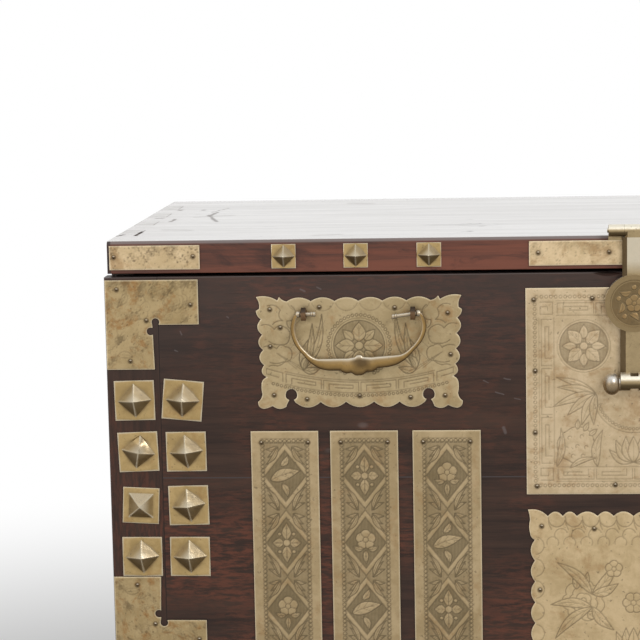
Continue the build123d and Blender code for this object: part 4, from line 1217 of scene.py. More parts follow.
def corner_spray(canvas, sx, sy, middle, chain_x, top):
    """Slender leaves in the triangle between a lozenge and the chain, rooted where lozenges meet."""
    root = np.array((sx * 4.5, middle + sy * (LOZENGE_HALF[1] + (-2.5 if sy > 0 else 2.5))))
    limit = chain_x - 3.2
    for reach, drop, width in ((1.0, 6.0, 3.6), (0.92, 13.5, 4.0), (1.02, 20.5, 3.8)):
        tip = np.array((sx * limit * reach, middle + sy * (LOZENGE_HALF[1] - drop)))
        edge = abs(tip[0]) / LOZENGE_HALF[0] + abs(tip[1] - middle) / LOZENGE_HALF[1]
        if edge > 1.02 and abs(tip[1]) < top - 11.0:
            canvas.leaf(root + (sx * 2.0, -sy * 1.0), tip, width, -0.10 * sx * sy)


# ---- Corner plates and edge strips -----------------------------------------------------------
CORNER_ARM, CORNER_DROP, CORNER_WIDTH, CORNER_HEIGHT = 86.6, 83.4, 44.6, 41.6
CORNER_BITES = (((1.8, 2.4), 3.6), ((-3.0, -6.2), 3.6))       # from the inner corner: centre, radius
CORNER_NAILS = ((11.0, -8.7), (79.3, -23.4), (38.0, -37.8), (22.0, -75.5))
EDGE_STRIP_NAILS = (4.1, 77.7)
EDGE_STRIP_NAIL_Y = 0.6
HASP_STRIP_NAILS = tuple((x, 0.4) for x in (-85.8, -21.8, 21.8, 85.8))
HASP_STRIP_LIFT = 0.4             # of the hasp's strip above the other sheets


def corner_outline():
    """An L for the upper left corner, with two round bites at its inner corner."""
    inner = np.array((CORNER_WIDTH, -CORNER_HEIGHT))
    (c1, r1), (c2, r2) = CORNER_BITES
    bite_up = arc(inner + c1, r1, -42.0, 206.0, 20)
    bite_left = arc(inner + c2, r2, 55.0, 304.0, 20)
    path = [(0, 0), (0, -CORNER_DROP), (CORNER_WIDTH, -CORNER_DROP)]
    path += [tuple(p) for p in bite_left[::-1]] + [tuple(p) for p in bite_up[::-1]]
    path += [(CORNER_ARM, -CORNER_HEIGHT), (CORNER_ARM, 0)]
    return np.array(path, float) + (-CORNER_ARM / 2, CORNER_DROP / 2)


def corner_canvas():
    """The upper left corner plate: worn flowers and beads under dark smears that grow darker towards its top.
    """
    canvas = Canvas(CORNER_ARM, CORNER_DROP, sizes().fine_step * 1.1, SHEET_T)
    outline = corner_outline()
    shift = np.array((-CORNER_ARM / 2, CORNER_DROP / 2))
    canvas.beads(arc(shift + (26.0, -80.0), 27.0, 55.0, 150.0, 30), 3.6, 1.3)
    canvas.beads(arc(shift + (88.0, -14.0), 34.0, 140.0, 205.0, 30), 3.6, 1.3)
    peony(canvas, shift + (66.0, -20.0), 11.0, 1)
    canvas.blossom(shift + (30.0, -26.0), 12.0, 6, 10.0)
    leaves = (((12, -60), (8, -36)), ((22, -62), (34, -78)), ((40, -12), (58, -6)),
              ((20, -12), (12, -24)), ((10, -70), (26, -72)), ((44, -30), (56, -38)))
    for base, tip in leaves:
        canvas.leaf(shift + base, shift + tip, 6.0, 0.1, 2)
    canvas.line *= 0.15 + 0.35 * np.clip(ripple(canvas.x, canvas.y, 5, 24.0) * 2.0 + 0.4, 0.0, 1.0)
    smears = ripple(canvas.x, canvas.y, 8, 17.0) + 3.0 * speckle(canvas, 9)
    # darker towards the top of the plate
    upper = np.clip((canvas.y - CORNER_DROP / 2 + 20.0) / 20.0, 0.0, 1.0)
    canvas.dark = 0.62 * np.clip(smears * 1.3 + upper * 0.6 - 0.12, 0.0, 1.0)
    canvas.nail_stains([shift + p for p in CORNER_NAILS], 4.2)
    finish_edges(canvas, outline, 41, wave=0.3)
    return canvas, outline


def speckle(canvas, seed):
    """Fine clumps: the product of two ripples of close lengths."""
    return ripple(canvas.x, canvas.y, seed, 4.2) * ripple(canvas.x, canvas.y, seed + 1, 5.6)


def strip_canvas(width, height, nails, seed, thick, dirt):
    """A plain strip, pitted and dented, with painted shade and a stain round each nail, and grime that grows
    towards its top.
    """
    canvas = Canvas(width, height, 0.8, thick)
    random = np.random.default_rng(seed)
    reaches = ((-width / 2, width / 2), (-height / 2, height / 2), (0.6, 1.3))
    for x, y, r in zip(*[random.uniform(*reach, 12) for reach in reaches]):
        pit = np.clip(1.0 - ((canvas.x - x) ** 2 + (canvas.y - y) ** 2) / r ** 2, 0.0, 1.0)
        canvas.dark = np.maximum(canvas.dark, 0.8 * pit)
        canvas.rise -= 0.2 * pit
    mottled = 3.0 * speckle(canvas, seed + 5) + 0.5 * ripple(canvas.x, canvas.y, seed + 8, 19.0)
    mottled += canvas.y / height * 0.5
    canvas.dark = np.maximum(canvas.dark, dirt * np.clip(mottled * 1.5, 0.0, 1.0))
    canvas.nail_stains(nails, 6.0)
    finish_edges(canvas, rectangle(width, height), seed + 2, wave=0.2)
    return canvas


# ---- Looks of the pieces ---------------------------------------------------------------------
# tint and strength of the stains, then, where one isn't plain, strength of the lines, metallic,
# roughness and the colour of wear and painted highlights
BRASSES = {
    "engraved_brass": ((1.08, 1.06, 1.06), 0.40, 0.85),
    "lock_brass": ((1.09, 1.10, 1.22), 0.45, 0.65),
    "handle_brass": ((0.84, 0.84, 0.83), 0.50),
    "strip_brass": ((1.24, 1.23, 1.30), 0.50),
    "strap_brass": ((0.83, 0.81, 0.80), 0.30, 1.1),
    "corner_brass": ((0.80, 0.77, 0.69), 0.85),
    "stud_brass": ((0.84, 0.77, 0.60), 0.35, 1.0, 0.8, 0.30, (0.66, 0.63, 0.53)),
    "carved_brass": ((0.58, 0.51, 0.42), 0.35, 1.0, 0.85, 0.32),
}
BOSS_DROP = 0.0606                # metres from the top surface down to the middle of the boss
HASP_ROUND = ((0.0, 0.0, TOP_Z - BOSS_DROP), 0.0262, (0.215, 0.150, 0.072))
# colour, upper sides and undersides, painted light and shade by the way each side faces, and whatever differs
# from a plain piece
WORN_AND_SHADED_METALS = {
    "nail_brass": ((0.12, 0.080, 0.042), (0.95, 0.88, 0.74), (0.03, 0.02, 0.012), {"rubbed": (0.30, 0.80)}),
    "rubbed_brass": ((0.33, 0.205, 0.070), (0.70, 0.65, 0.54), (0.07, 0.036, 0.013), {"shaded": (0.0, -0.6)}),
    "hasp_brass": ((0.42, 0.315, 0.17), (0.88, 0.83, 0.70), (0.060, 0.038, 0.014),
                   {"rubbed": (0.05, 0.55), "shaded": (0.10, -0.35), "dull_spot": HASP_ROUND}),
    "eye_metal": ((0.16, 0.085, 0.035), (0.035, 0.024, 0.015), (0.15, 0.078, 0.03),
                  {"roughness": 0.5, "metallic": 0.4, "rubbed": (0.10, 0.55)}),
    "pin_steel": ((0.30, 0.22, 0.13), (0.74, 0.73, 0.69), (0.14, 0.095, 0.05), {"roughness": 0.22}),
}
# what the names of the solids begin with; the rest are carved brass
NODE_LOOKS = {
    "front_timber": ("door_plank", "lower_front_panel", "stand_front_apron"),
    "upright_timber": ("door_cleat", "side_board", "stand_side"),
    "inner_timber": ("back_plank", "bottom_board", "stand_back_rail"),
    "top_timber": ("top_board",),
    "rubbed_brass": ("door_bail", "side_bail", "hinge_pins"),
    "hasp_brass": ("hasp",),
    "eye_metal": ("handle_posts", "side_handle_posts"),
    "pin_steel": ("lock_pin", "lock_staple"),
    "strap_brass": ("hinge_upper_leaf", "hinge_lower_leaf"),
}


# ---- Operators -------------------------------------------------------------------------------
class BANDAJI_OT_materials(Operator):
    """Build the timber and metal materials and give them to the CAD nodes"""
    bl_idname = "bandaji.materials"
    bl_label = "Materials"

    def execute(self, context):
        paints = colours()
        groups = {"grain": grain_group(), "scuffs": scuff_group(), "tarnish": tarnish_group()}
        seam_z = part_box("door_plank_lower")[1].z
        door_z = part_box("door_cleat_right")[1].z
        seam_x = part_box("door_cleat_right")[0].x
        # dark joints, and a pale line along the door's top edge that is partly wear and partly a painted
        # highlight
        dark, wear_and_highlight = (0.008, 0.005, 0.004), (0.115, 0.090, 0.082)
        timber("front_timber", groups, paints, 0, 0.44,
               ((2, seam_z, (0.060, 0.047, 0.045)), (2, door_z, wear_and_highlight), (0, seam_x, dark), (0, -seam_x, dark)))
        timber("upright_timber", groups, paints, 2, 0.30, ((2, door_z, wear_and_highlight),))
        timber("inner_timber", groups, paints, 0, 0.15)
        worn_and_sheened_top("top_timber", groups, paints)
        for name, look in BRASSES.items():
            old_brass(name, groups, paints, *look)
        for name, (body, bright, beneath, more) in WORN_AND_SHADED_METALS.items():
            worn_and_shaded_metal(name, groups, body, bright, beneath, **more)
        for name, node in NODES.items():
            chosen = [label for label, starts in NODE_LOOKS.items() if name.startswith(starts)]
            label = chosen[0] if chosen else "carved_brass"
            node.data.materials.clear()
            node.data.materials.append(material(label))
        return {"FINISHED"}


class BANDAJI_OT_lock_plate(Operator):
    """Engrave the square lock plate"""
    bl_idname = "bandaji.lock_plate"
    bl_label = "Lock plate"

    def execute(self, context):
        centre, _, _ = middle_of("lock_plate")
        sheet_piece("engraved_lock_plate", lock_canvas(), on_front(centre), "door",
                    material("lock_brass"), node="lock_plate")
        return {"FINISHED"}


class BANDAJI_OT_handle_plates(Operator):
    """Engrave the two scalloped plates behind the front handles"""
    bl_idname = "bandaji.handle_plates"
    bl_label = "Handle plates"

    def execute(self, context):
        canvas, outline = handle_canvas()
        for side, sign in SIDES.items():
            (x, _), _, _ = middle_of(f"handle_plate_{side}")
            sheet_piece(f"engraved_handle_plate_{side}", canvas.mirrored(across_x=sign > 0),
                        on_front((x, HANDLE_Z)), "door", material("handle_brass"), outline,
                        f"handle_plate_{side}")
        return {"FINISHED"}


class BANDAJI_OT_centre_plates(Operator):
    """Engrave the cloud-edged plates above and below the hinge line"""
    bl_idname = "bandaji.centre_plates"
    bl_label = "Centre plates"

    def execute(self, context):
        canvas, outline = centre_canvas()
        for node, body, down in (("door_centre_plate", "door", False), ("lower_centre_plate", "case", True)):
            centre, _, _ = middle_of(node)
            border = (outline * (1, -1))[::-1] if down else outline
            sheet_piece(f"engraved_{node}", canvas.mirrored(across_y=down), on_front(centre), body,
                        material("engraved_brass"), border, node)
        return {"FINISHED"}


class BANDAJI_OT_straps(Operator):
    """Lay an engraved skin over each leaf of the six strap hinges"""
    bl_idname = "bandaji.straps"
    bl_label = "Hinge straps"

    def execute(self, context):
        ease = 0.16
        for half, body in (("upper", "door"), ("lower", "case")):
            designs = {}
            for number in HINGES:
                low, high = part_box(f"hinge_{half}_leaf_{number}")
                width = (high.x - low.x) / MM + ease
                length = (high.z - low.z) / MM - KNUCKLES + ease
                reach = (length - ease) * MM / 2
                middle = ((low.x + high.x) / 2, high.z - reach if half == "upper" else low.z + reach)
                kind = min(number - 1, 6 - number)
                if kind not in designs:
                    designs[kind] = strap_canvas(kind, width, length)
                drawn = designs[kind].mirrored(across_x=number > 3, across_y=half == "lower")
                sheet_piece(f"engraved_{half}_strap_{number}", drawn, on_front(middle), body,
                            material("strap_brass"))
        return {"FINISHED"}


class BANDAJI_OT_corner_plates(Operator):
    """Engrave the four L-shaped corner plates of the door"""
    bl_idname = "bandaji.corner_plates"
    bl_label = "Corner plates"

    def execute(self, context):
        canvas, outline = corner_canvas()
        for side, sign in SIDES.items():
            for level in ("upper", "lower"):
                node = f"corner_plate_{level}_{side}"
                centre, _, _ = middle_of(node)
                flip = np.array((-sign, 1 if level == "upper" else -1))
                border = (outline * flip)[::flip.prod()]
                drawn = canvas.mirrored(across_x=sign > 0, across_y=level == "lower")
                sheet_piece(f"engraved_{node}", drawn, on_front(centre), "door",
                            material("corner_brass"), border, node)
        return {"FINISHED"}


class BANDAJI_OT_edge_strips(Operator):
    """Dent and stain the strips on the edge of the top board"""
    bl_idname = "bandaji.edge_strips"
    bl_label = "Edge strips"

    def execute(self, context):
        for side, sign in SIDES.items():
            node = f"top_edge_strip_{side}"
            centre, width, height = middle_of(node)
            nails = [(-sign * (x - width / 2), EDGE_STRIP_NAIL_Y) for x in EDGE_STRIP_NAILS]
            canvas = strip_canvas(width, height, nails, 51 + sign, SHEET_T, 0.80)
            sheet_piece(f"pitted_{node}", canvas, on_front(centre), "case",
                        material("strip_brass"), node=node)
        (_, z), _, height = middle_of("top_edge_strip_left")
        ease = 0.1
        width = 2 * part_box("hasp_strip")[1].x / MM + ease
        canvas = strip_canvas(width, height + ease, HASP_STRIP_NAILS, 61, SHEET_T + HASP_STRIP_LIFT, 0.40)
        sheet_piece("pitted_hasp_strip", canvas, on_front((0.0, z)), "case",
                    material("strip_brass"))
        return {"FINISHED"}


def stud_points(plate, foot, rise, square, turn, seed, dent):
    """A stud as rings round its tip: straight rays run from the tip down the pyramid to its foot, then
    over the flat plate to its edge, and down into the wood.

    On a ray at angle a the edge lies at plate / 2 / max(|cos a|, |sin a|).  With b the angle from the
    pyramid's own axis, its foot lies at foot / max(|cos b|, |sin b|) for one set square and at
    foot / (|cos b| + |sin b|) for one set on its corners.  The rings of the pyramid come first, then
    those of the plate and one in the wood; the four marks of each point are line, ground, brightening
    and darkening.  Most of the brightening and darkening is painted light: a painted highlight and
    painted shade on each facet by the way it faces, a painted sheen near the tip and along the ridges,
    painted shade in the crease round the foot and a painted highlight along the plate's rim."""
    cone, flats = 16, 6
    turn = math.radians(turn)
    corner = math.pi / 4 if square else 0.0
    quarters = np.arange(4) * math.pi / 2
    angle = np.concatenate((np.arange(64) * math.pi / 32, quarters + math.pi / 4, quarters + turn + corner))
    angle = np.unique(np.round(angle % (2 * math.pi), 3))
    rays = len(angle)
    own = angle - turn
    edge = plate / 2 / np.maximum(np.abs(np.cos(angle)), np.abs(np.sin(angle)))
    wide, tall = np.abs(np.cos(own)), np.abs(np.sin(own))
    base = np.minimum(foot / np.maximum(wide, tall) if square else foot / (wide + tall), edge - 0.5)
    down = np.linspace(0.03, 1.0, cone)
    flat = np.linspace(0.0, 1.0, flats + 1)[1:]
    radius = np.concatenate([np.outer(down, base), base + np.outer(flat, edge - base), edge[None]])
    height = np.concatenate([rise * (1.0 - down), np.zeros(flats), [-SHEET_T - 0.15]]) + SHEET_T
    x, y = radius * np.cos(angle), radius * np.sin(angle)
    z = np.repeat(height[:, None], rays, axis=1)
    z[:cone] += 0.14 * ripple(x[:cone], y[:cone], seed, 9.0) * np.sin(math.pi * down)[:, None]
    z[:-1] += 0.16 * ripple(x[:-1], y[:-1], seed + 1, 26.0)
    z[-2] -= 0.3
    if dent:
        z[:cone] -= dent * np.exp(-((x[:cone] - 1.0) ** 2 + (y[:cone] - 6.0) ** 2) / 40.0)
        x[:cone] += dent * 0.35 * (1.0 - down)[:, None]
    finish = np.zeros((*radius.shape, 4))
    polish, dirt = finish[:cone, :, 2], finish[:cone, :, 3]
    # each facet gets a painted highlight and painted shade by the way it faces
    quarter = np.floor((own - corner) / (math.pi / 2)).astype(int) % 4
    polish[:], dirt[:] = np.array(SQUARE_TONES if square else FACET_TONES)[quarter].T[:, None]
    # a painted sheen near the tip
    lustre = np.clip(1.15 - 1.5 * down, 0.0, 1.0)[:, None] * np.where(dirt < 0.7, 1.0, 0.12)
    polish[:] = np.maximum(polish, 0.9 * lustre)
    dirt *= 1.0 - 0.8 * lustre
    # a painted highlight along the ridges, stronger on the upright ones
    ridge = np.abs((own - corner + math.pi / 4) % (math.pi / 2) - math.pi / 4) * radius[:cone]
    wear_and_highlight = np.clip(1.25 - ridge / 0.75, 0.0, 1.0) * np.where(np.abs(np.sin(own)) > 0.7, 0.85, 0.50)
    polish[:] = np.maximum(polish, wear_and_highlight)
    dirt *= 1.0 - wear_and_highlight
    # painted shade in the crease round the pyramid's foot
    finish[cone:cone + 2, :, 3] = np.array((0.22, 0.06))[:, None]
    # a painted highlight along the plate's rim
    finish[-2:, :, 2] = 0.9
    return x, y, z, finish


def stud_piece(name, studs, body, label, node):
    """All the studs of one node; each is (x, z in metres, plate, foot, rise, square, tilt of the plate,
    turn of the pyramid on it, dent)."""
    parts, marks = [], []
    for number, (cx, cz, plate, foot, rise, square, tilt, twist, dent) in enumerate(studs):
        x, y, z, finish = stud_points(plate, foot, rise, square, twist, 70 + number, dent)
        cos, sin = compass(tilt)[0]
        x, y = x * cos - y * sin, x * sin + y * cos
        ends = ((x[0].mean(), 0.0), (y[0].mean(), 0.0), (z[0].max() + 0.1, z[-1, 0]))
        points = (np.concatenate((field.ravel(), end)) for field, end in zip((x, y, z), ends))
        parts.append((on_front((cx, cz))(*points), fanned(*x.shape)))
        # the point at the tip gets a painted highlight
        marks.append(np.concatenate((finish.reshape(-1, 4), ((0, 0, 0.6, 0), (0, 0, 0, 0)))))
    points, faces = joined(parts)
    new_piece(name, points, faces, body, material(label), np.concatenate(marks), 24.0, node)


# brightening (painted highlight) and darkening (painted shade) of the facets by the way each faces,
# from the upper right anticlockwise, then of a pyramid set square: top, left, bottom and right
FACET_TONES = ((0.26, 0.58), (0.06, 0.42), (0.0, 1.0), (0.0, 0.86))
SQUARE_TONES = ((0.62, 0.0), (0.0, 0.72), (0.0, 0.85), (0.0, 0.50))
STUD_COLUMNS = (0.458, 0.413)
STUD_TOP_ROW, STUD_PITCH, STUD_ROWS = 0.6535, 0.0492, 4
STUD_TILTS = ((1.0, 2.0, -2.8, 0.0), (-5.2, 0.5, 1.0, 0.0))    # of the plates, degrees
STUD_TURNS = ((2.0, -10.0, 0.0, 3.0), (2.0, 4.0, 6.0, 2.0))    # of the pyramids on their plates
STUD_DRIFT = ((0.00175, 0.0002), (-0.0003, 0.0009), (-0.0013, -0.0009), (-0.0013, -0.0006))
EDGE_STUDS = (0.1849, 0.2518, 0.318)


class BANDAJI_OT_studs(Operator):
    """Beat up the pyramid studs of the door and of the top board's edge"""
    bl_idname = "bandaji.studs"
    bl_label = "Pyramid studs"

    def execute(self, context):
        for side, sign in SIDES.items():
            studs = []
            for column, x in enumerate(STUD_COLUMNS):
                for row in range(STUD_ROWS):
                    odd = sign < 0 and (column, row) == (0, 2)
                    dent = 3.2 if sign < 0 and (column, row) == (0, 1) else 0.0
                    size = (34.0, 11.0) if odd else (37.4, 15.6)
                    outwards, up = STUD_DRIFT[row]
                    place = (sign * (x + outwards), STUD_TOP_ROW - row * STUD_PITCH + up)
                    turns = [-sign * turn[column][row] for turn in (STUD_TILTS, STUD_TURNS)]
                    studs.append((*place, *size, 10.0, odd, *turns, dent))
            stud_piece(f"beaten_door_studs_{side}", studs, "door", "stud_brass", f"door_studs_{side}")
        low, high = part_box("top_edge_studs")
        plate = (high.z - low.z) / MM
        studs = [(sign * x, (low.z + high.z) / 2, plate, plate / 2 - 0.8, 8.0, False, 0.0, 0.0, 0.0)
                 for x in EDGE_STUDS for sign in (-1, 1)]
        stud_piece("beaten_edge_studs", studs, "case", "stud_brass", "top_edge_studs")
        return {"FINISHED"}


BAIL_INNER = [
    (-54.4, -2.0, 0), (-57.2, -7.3, 1.0), (-58.2, -13.7, 0.3), (-47.6, -33.4, 2.2), (-37.0, -39.8, 1.1),
    (-10.0, -40.6, 0), (-4.6, -40.0, 0), (-2.6, -38.6, 0.3), (0.0, -38.0, -0.2)]
BAIL_OUTER = [
    (-54.4, 2.0, 0), (-60.0, -2.9, 1.2), (-62.4, -13.7, 0.6), (-51.0, -35.6, 2.4), (-36.4, -48.4, 1.2),
    (-26.0, -51.0, 0.4), (-16.6, -51.4, 0), (-14.6, -53.2, 0.5), (-7.6, -54.0, 0.9), (-6.0, -54.8, 0),
    (0.0, -57.0, 0.9)]
BAIL_LEAN = 0.0011                # how much shallower the loop hangs per millimetre to the right
PIVOT_OUT, PIVOT_DROP = 9.0, 3.6  # of the pivot's axis from the sheet and from the handle's top
COLLAR_X = 54.6
ROD_TIPS = {-1: (38.8, 0.0), 1: (30.5, 0.16)}     # how far in each rod ends, and its droop
EYE_X, EYE_Y = 50.0, 37.0         # of the eyes, from the plate's zero
BOSS_RADIUS, BOSS_FLOOR = 21.6, 12.0


def even_points(path, count):
    """Equally spaced points of the open path through a list of (x, y, bulge)."""
    curve = bulging(path)
    return walked(curve[:np.argmax(curve[:, 0]) + 1], lambda along: np.linspace(0.0, along[-1], count))


def bail_loop(place):
    """The flat part of a handle.  u runs from one arm round to the other and v round the section.

    The middle line and half width follow an inner and an outer edge; the section is a rounded
    rectangle: cos and sin of v, each raised to the power 0.6."""
    inner, outer = (even_points(path, 90) for path in (BAIL_INNER, BAIL_OUTER))
    inner, outer = (np.concatenate((edge, edge[-2::-1] * (-1, 1))) for edge in (inner, outer))
    v = np.linspace(0.0, 2 * math.pi, 20, endpoint=False)
    across, out = (np.sign(side) * np.abs(side) ** 0.6 for side in (np.cos(v), np.sin(v)))
    middle, half = (inner + outer) / 2, (outer - inner) / 2
    x = middle[:, :1] + half[:, :1] * across
    y = middle[:, 1:] + half[:, 1:] * across
    y = y * (1.0 - BAIL_LEAN * x)
    z = PIVOT_OUT + 2.2 * out + 0.12 * ripple(x, y, 91, 12.0)
    finish = np.zeros((*x.shape, 4))
    # a painted highlight along the inner edge
    finish[..., 2] = np.clip(-across, 0.0, 1.0) ** 3 * 0.95
    # a dark patch low in the middle of the front, and painted shade along the outer edge
    patch = np.clip(1.25 - ((x - 2.0) / 9.5) ** 2 - ((y + 45.0) / 4.6) ** 2, 0.0, 1.0)
    finish[..., 3] = np.maximum(np.where(out > 0.0, patch, 0.0), 0.85 * np.clip(across * 1.6 - 0.3, 0.0, 1.0))
    faces = [face[::-1] for face in ring_faces(*x.shape)]
    return (place(x.ravel(), y.ravel(), z.ravel()), faces), finish.reshape(-1, 4)


def pivot_rod(place, end):
    """The round end of a handle: a collar beside the eye, and a rod with a ringed tip."""
    tip, droop = ROD_TIPS[end]
    profile = [(COLLAR_X + 2.4, 1.5), (COLLAR_X + 2.1, 2.6), (COLLAR_X + 1.0, 3.1), (COLLAR_X - 0.6, 3.1),
               (COLLAR_X - 1.5, 2.6), (COLLAR_X - 1.9, 1.8), (tip + 5.0, 1.7), (tip + 4.6, 2.2),
               (tip + 3.2, 2.3), (tip + 2.9, 1.9), (tip + 2.5, 2.3), (tip + 0.6, 2.3), (tip, 1.7)]
    profile = profile if end > 0 else [(-x, r) for x, r in profile[::-1]]
    points, faces = turned(profile, 20)
    drop = droop * np.clip(EYE_X - np.abs(points[:, 0]), 0.0, None)
    return place(points[:, 0], points[:, 1] - drop, points[:, 2] + PIVOT_OUT), faces


class BANDAJI_OT_bails(Operator):
    """Forge the four hanging handles, with their collars and pivot rods"""
    bl_idname = "bandaji.bails"
    bl_label = "Handles"

    def execute(self, context):
        for side, sign in SIDES.items():
            low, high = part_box(f"door_bail_{side}")
            self.handle(f"door_bail_{side}", on_front(((low.x + high.x) / 2, high.z - PIVOT_DROP * MM)))
            low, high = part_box(f"side_bail_{side}")
            self.handle(f"side_bail_{side}", on_end(sign, ((low.y + high.y) / 2, high.z - PIVOT_DROP * MM)))
        return {"FINISHED"}

    def handle(self, node, place):
        loop, finish = bail_loop(place)
        rods = [pivot_rod(place, end) for end in (-1, 1)]
        marks = [finish] + [np.tile((0.0, 0.0, 0.5, 0.0), (len(points), 1)) for points, _ in rods]
        points, faces = joined([loop, *rods])
        new_piece(f"forged_{node}", points, faces, node, material("rubbed_brass"),
                  np.concatenate(marks), 40.0, node)


class BANDAJI_OT_hasp(Operator):
    """Carve the round boss of the hasp and turn the knob of the lock pin"""
    bl_idname = "bandaji.hasp"
    bl_label = "Hasp and lock pin"

    def execute(self, context):
        self.boss((0.0, TOP_Z - BOSS_DROP))
        self.shaft()
        self.pin()
        return {"FINISHED"}

    def shaft(self):
        """The bevelled shaft above and below the boss, worn bright near the hinge.

        Each ring across it has eight points: both edges of the back and of the bevels, and two close together
        at each edge of the face, so that the painted shade of the bevels stops there."""
        parts, marks = [], []
        rings, sides = 24, 8
        rising = (6.1, 6.9, 11.0, 11.25)        # out of the front: back, rim, bevel's end and face
        for top, bottom, back, flat in ((TOP_Z - 0.0008, TOP_Z - 0.042, 10.2, 6.1),
                                        (TOP_Z - 0.080, TOP_Z - 0.1245, 12.2, 7.4)):
            heights = np.linspace(top, bottom, rings)
            half = np.array((back, back, flat + 0.3, flat))
            x = np.tile((*-half, *half[::-1]), (rings, 1))
            out = np.tile(rising + rising[::-1], (rings, 1))
            y = np.repeat(heights[:, None], sides, 1) / MM
            x = x + 0.12 * ripple(x, y, 93, 16.0)
            points = on_front((0.0, 0.0))(x.ravel(), y.ravel(), out.ravel())
            finish = np.zeros((rings, sides, 4))
            finish[:, 3:5, 2] = np.clip((heights[:, None] - TOP_Z + 0.034) / 0.02, 0.0, 0.6)
            # painted shade on the back and the bevels
            finish[:, (0, 1, 2, 5, 6, 7), 3] = 0.95
            parts.append((points, [face[::-1] for face in ring_faces(rings, sides)]))
            marks.append(finish.reshape(-1, 4))
        points, faces = joined(parts)
        new_piece("bevelled_shaft", points, faces, "hasp", material("hasp_brass"),
                  np.concatenate(marks), 25.0)

    def boss(self, centre):
        """A sunk disc with a flower, five curled leaves and five buds in relief."""
        canvas = Canvas(2 * BOSS_RADIUS, 2 * BOSS_RADIUS, 0.42, BOSS_FLOOR)
        middle = np.zeros(2)
        disc = arc(middle, BOSS_RADIUS - 0.1, count=90)
        canvas.ground = canvas.cover(disc) * 0.8
        canvas.blossom(middle, 8.2, 5, 90.0)
        for k in range(5):
            way, side = compass(54.0 + 72.0 * k)
            canvas.leaf(way * 9.6 - side * 4.4, way * 16.8 + side * 4.8, 5.6, 0.18)
            way, _ = compass(90.0 + 72.0 * k)
            canvas.motif(arc(way * 14.6, 2.5, count=16), 0.1)
        canvas.rise = canvas.rise * 3.4
        canvas.engrave(arc(middle, BOSS_RADIUS - 1.2, count=90), 0.9)
        canvas.dark = 0.5 * canvas.ground
        sheet_piece("carved_boss", canvas, on_front(centre), "hasp", material("carved_brass"),
                    disc[:-1], sink=-BOSS_FLOOR + 0.6)

    def pin(self):
        """The pin lies along x: its ball runs 142 degrees round from the outer end, then the shank."""
        low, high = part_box("lock_pin")
        out = (FACE_Y - (low.y + high.y) / 2) / MM
        start, radius = -12.6, 10.1
        angle = np.radians(np.linspace(0.0, 142.0, 22))
        ball = np.stack((start - 7.6 - radius * 0.80 * np.cos(angle), radius * np.sin(angle)), -1)
        shank = [(start, ball[-1, 1]), (start + 0.1, 3.0), (13.9, 3.0), (14.0, 2.4)]
        profile = [(ball[0, 0], 0.02)] + ball[1:].tolist() + shank
        points, faces = turned(profile[::-1], sizes().turns)
        points = on_front((0.0, (low.z + high.z) / 2))(points[:, 0], points[:, 1], points[:, 2] + out)
        new_piece("turned_lock_pin", points, faces, "lock_pin", material("pin_steel"),
                  None, 40.0, "lock_pin")


class BANDAJI_OT_nails(Operator):
    """Drive the small domed nails of every plate"""
    bl_idname = "bandaji.nails"
    bl_label = "Nails"

    def execute(self, context):
        radius = sizes().nail_radius / MM
        door, case = [], []
        lock, _, _ = middle_of("lock_plate")
        door += [(lock, sign * x, y, 0.0) for x, y in LOCK_NAILS for sign in (-1, 1)]
        for side, sign in SIDES.items():
            (middle, _), _, _ = middle_of(f"handle_plate_{side}")
            door += [((middle, HANDLE_Z), -sign * x, y, 0.0) for x, y in HANDLE_NAILS]
            for level, up in (("upper", 1), ("lower", -1)):
                centre, width, height = middle_of(f"corner_plate_{level}_{side}")
                door += [(centre, -sign * (x - width / 2), up * (y + height / 2), 0.0)
                         for x, y in CORNER_NAILS]
            centre, width, _ = middle_of(f"top_edge_strip_{side}")
            case += [(centre, -sign * (x - width / 2), EDGE_STRIP_NAIL_Y, 0.0) for x in EDGE_STRIP_NAILS]
        (_, z), _, _ = middle_of("top_edge_strip_left")
        case += [((0.0, z), x, y, HASP_STRIP_LIFT) for x, y in HASP_STRIP_NAILS]
        for node, body, up in (("door_centre_plate", door, 1), ("lower_centre_plate", case, -1)):
            centre, _, height = middle_of(node)
            body += [(centre, sign * x, up * (y + height / 2), 0.0)
                     for x, y in CENTRE_NAILS for sign in (-1, 1)]
        for number in HINGES:
            for half, body, up in (("upper", door, 1), ("lower", case, -1)):
                centre, _, height = middle_of(f"hinge_{half}_leaf_{number}")
                free, low = height / 2 - STRAP_NAIL[1], height / 2 - KNUCKLES - STRAP_LOW_NAIL
                body += [(centre, x, up * y, STRAP_LIFT)
                         for x in (-STRAP_NAIL[0], STRAP_NAIL[0]) for y in (free, -low)]
        for name, nails, body in (("door_nails", door, "door"), ("case_nails", case, "case")):
            points, faces = joined([self.nail(on_front(centre), x, y, SHEET_T + lift, radius)
                                    for centre, x, y, lift in nails])
            new_piece(name, points, faces, body, material("nail_brass"), None, 50.0)
        return {"FINISHED"}

    def nail(self, place, x, y, foot, radius):
        """A dome: rings at angle a from the rim have radius cos a and height sin a."""
        angle = np.radians((-12.0, 8.0, 28.0, 50.0, 72.0))
        ring = np.linspace(0.0, 2 * math.pi, 12, endpoint=False)
        px = x + radius * np.outer(np.cos(angle), np.cos(ring))
        py = y + radius * np.outer(np.cos(angle), np.sin(ring))
        pz = np.repeat((foot - 0.2 + radius * 0.85 * np.sin(angle))[:, None], ring.size, 1)
        pz[0] = foot - 0.6
        return place(px.ravel(), py.ravel(), pz.ravel()), ring_faces(*px.shape)


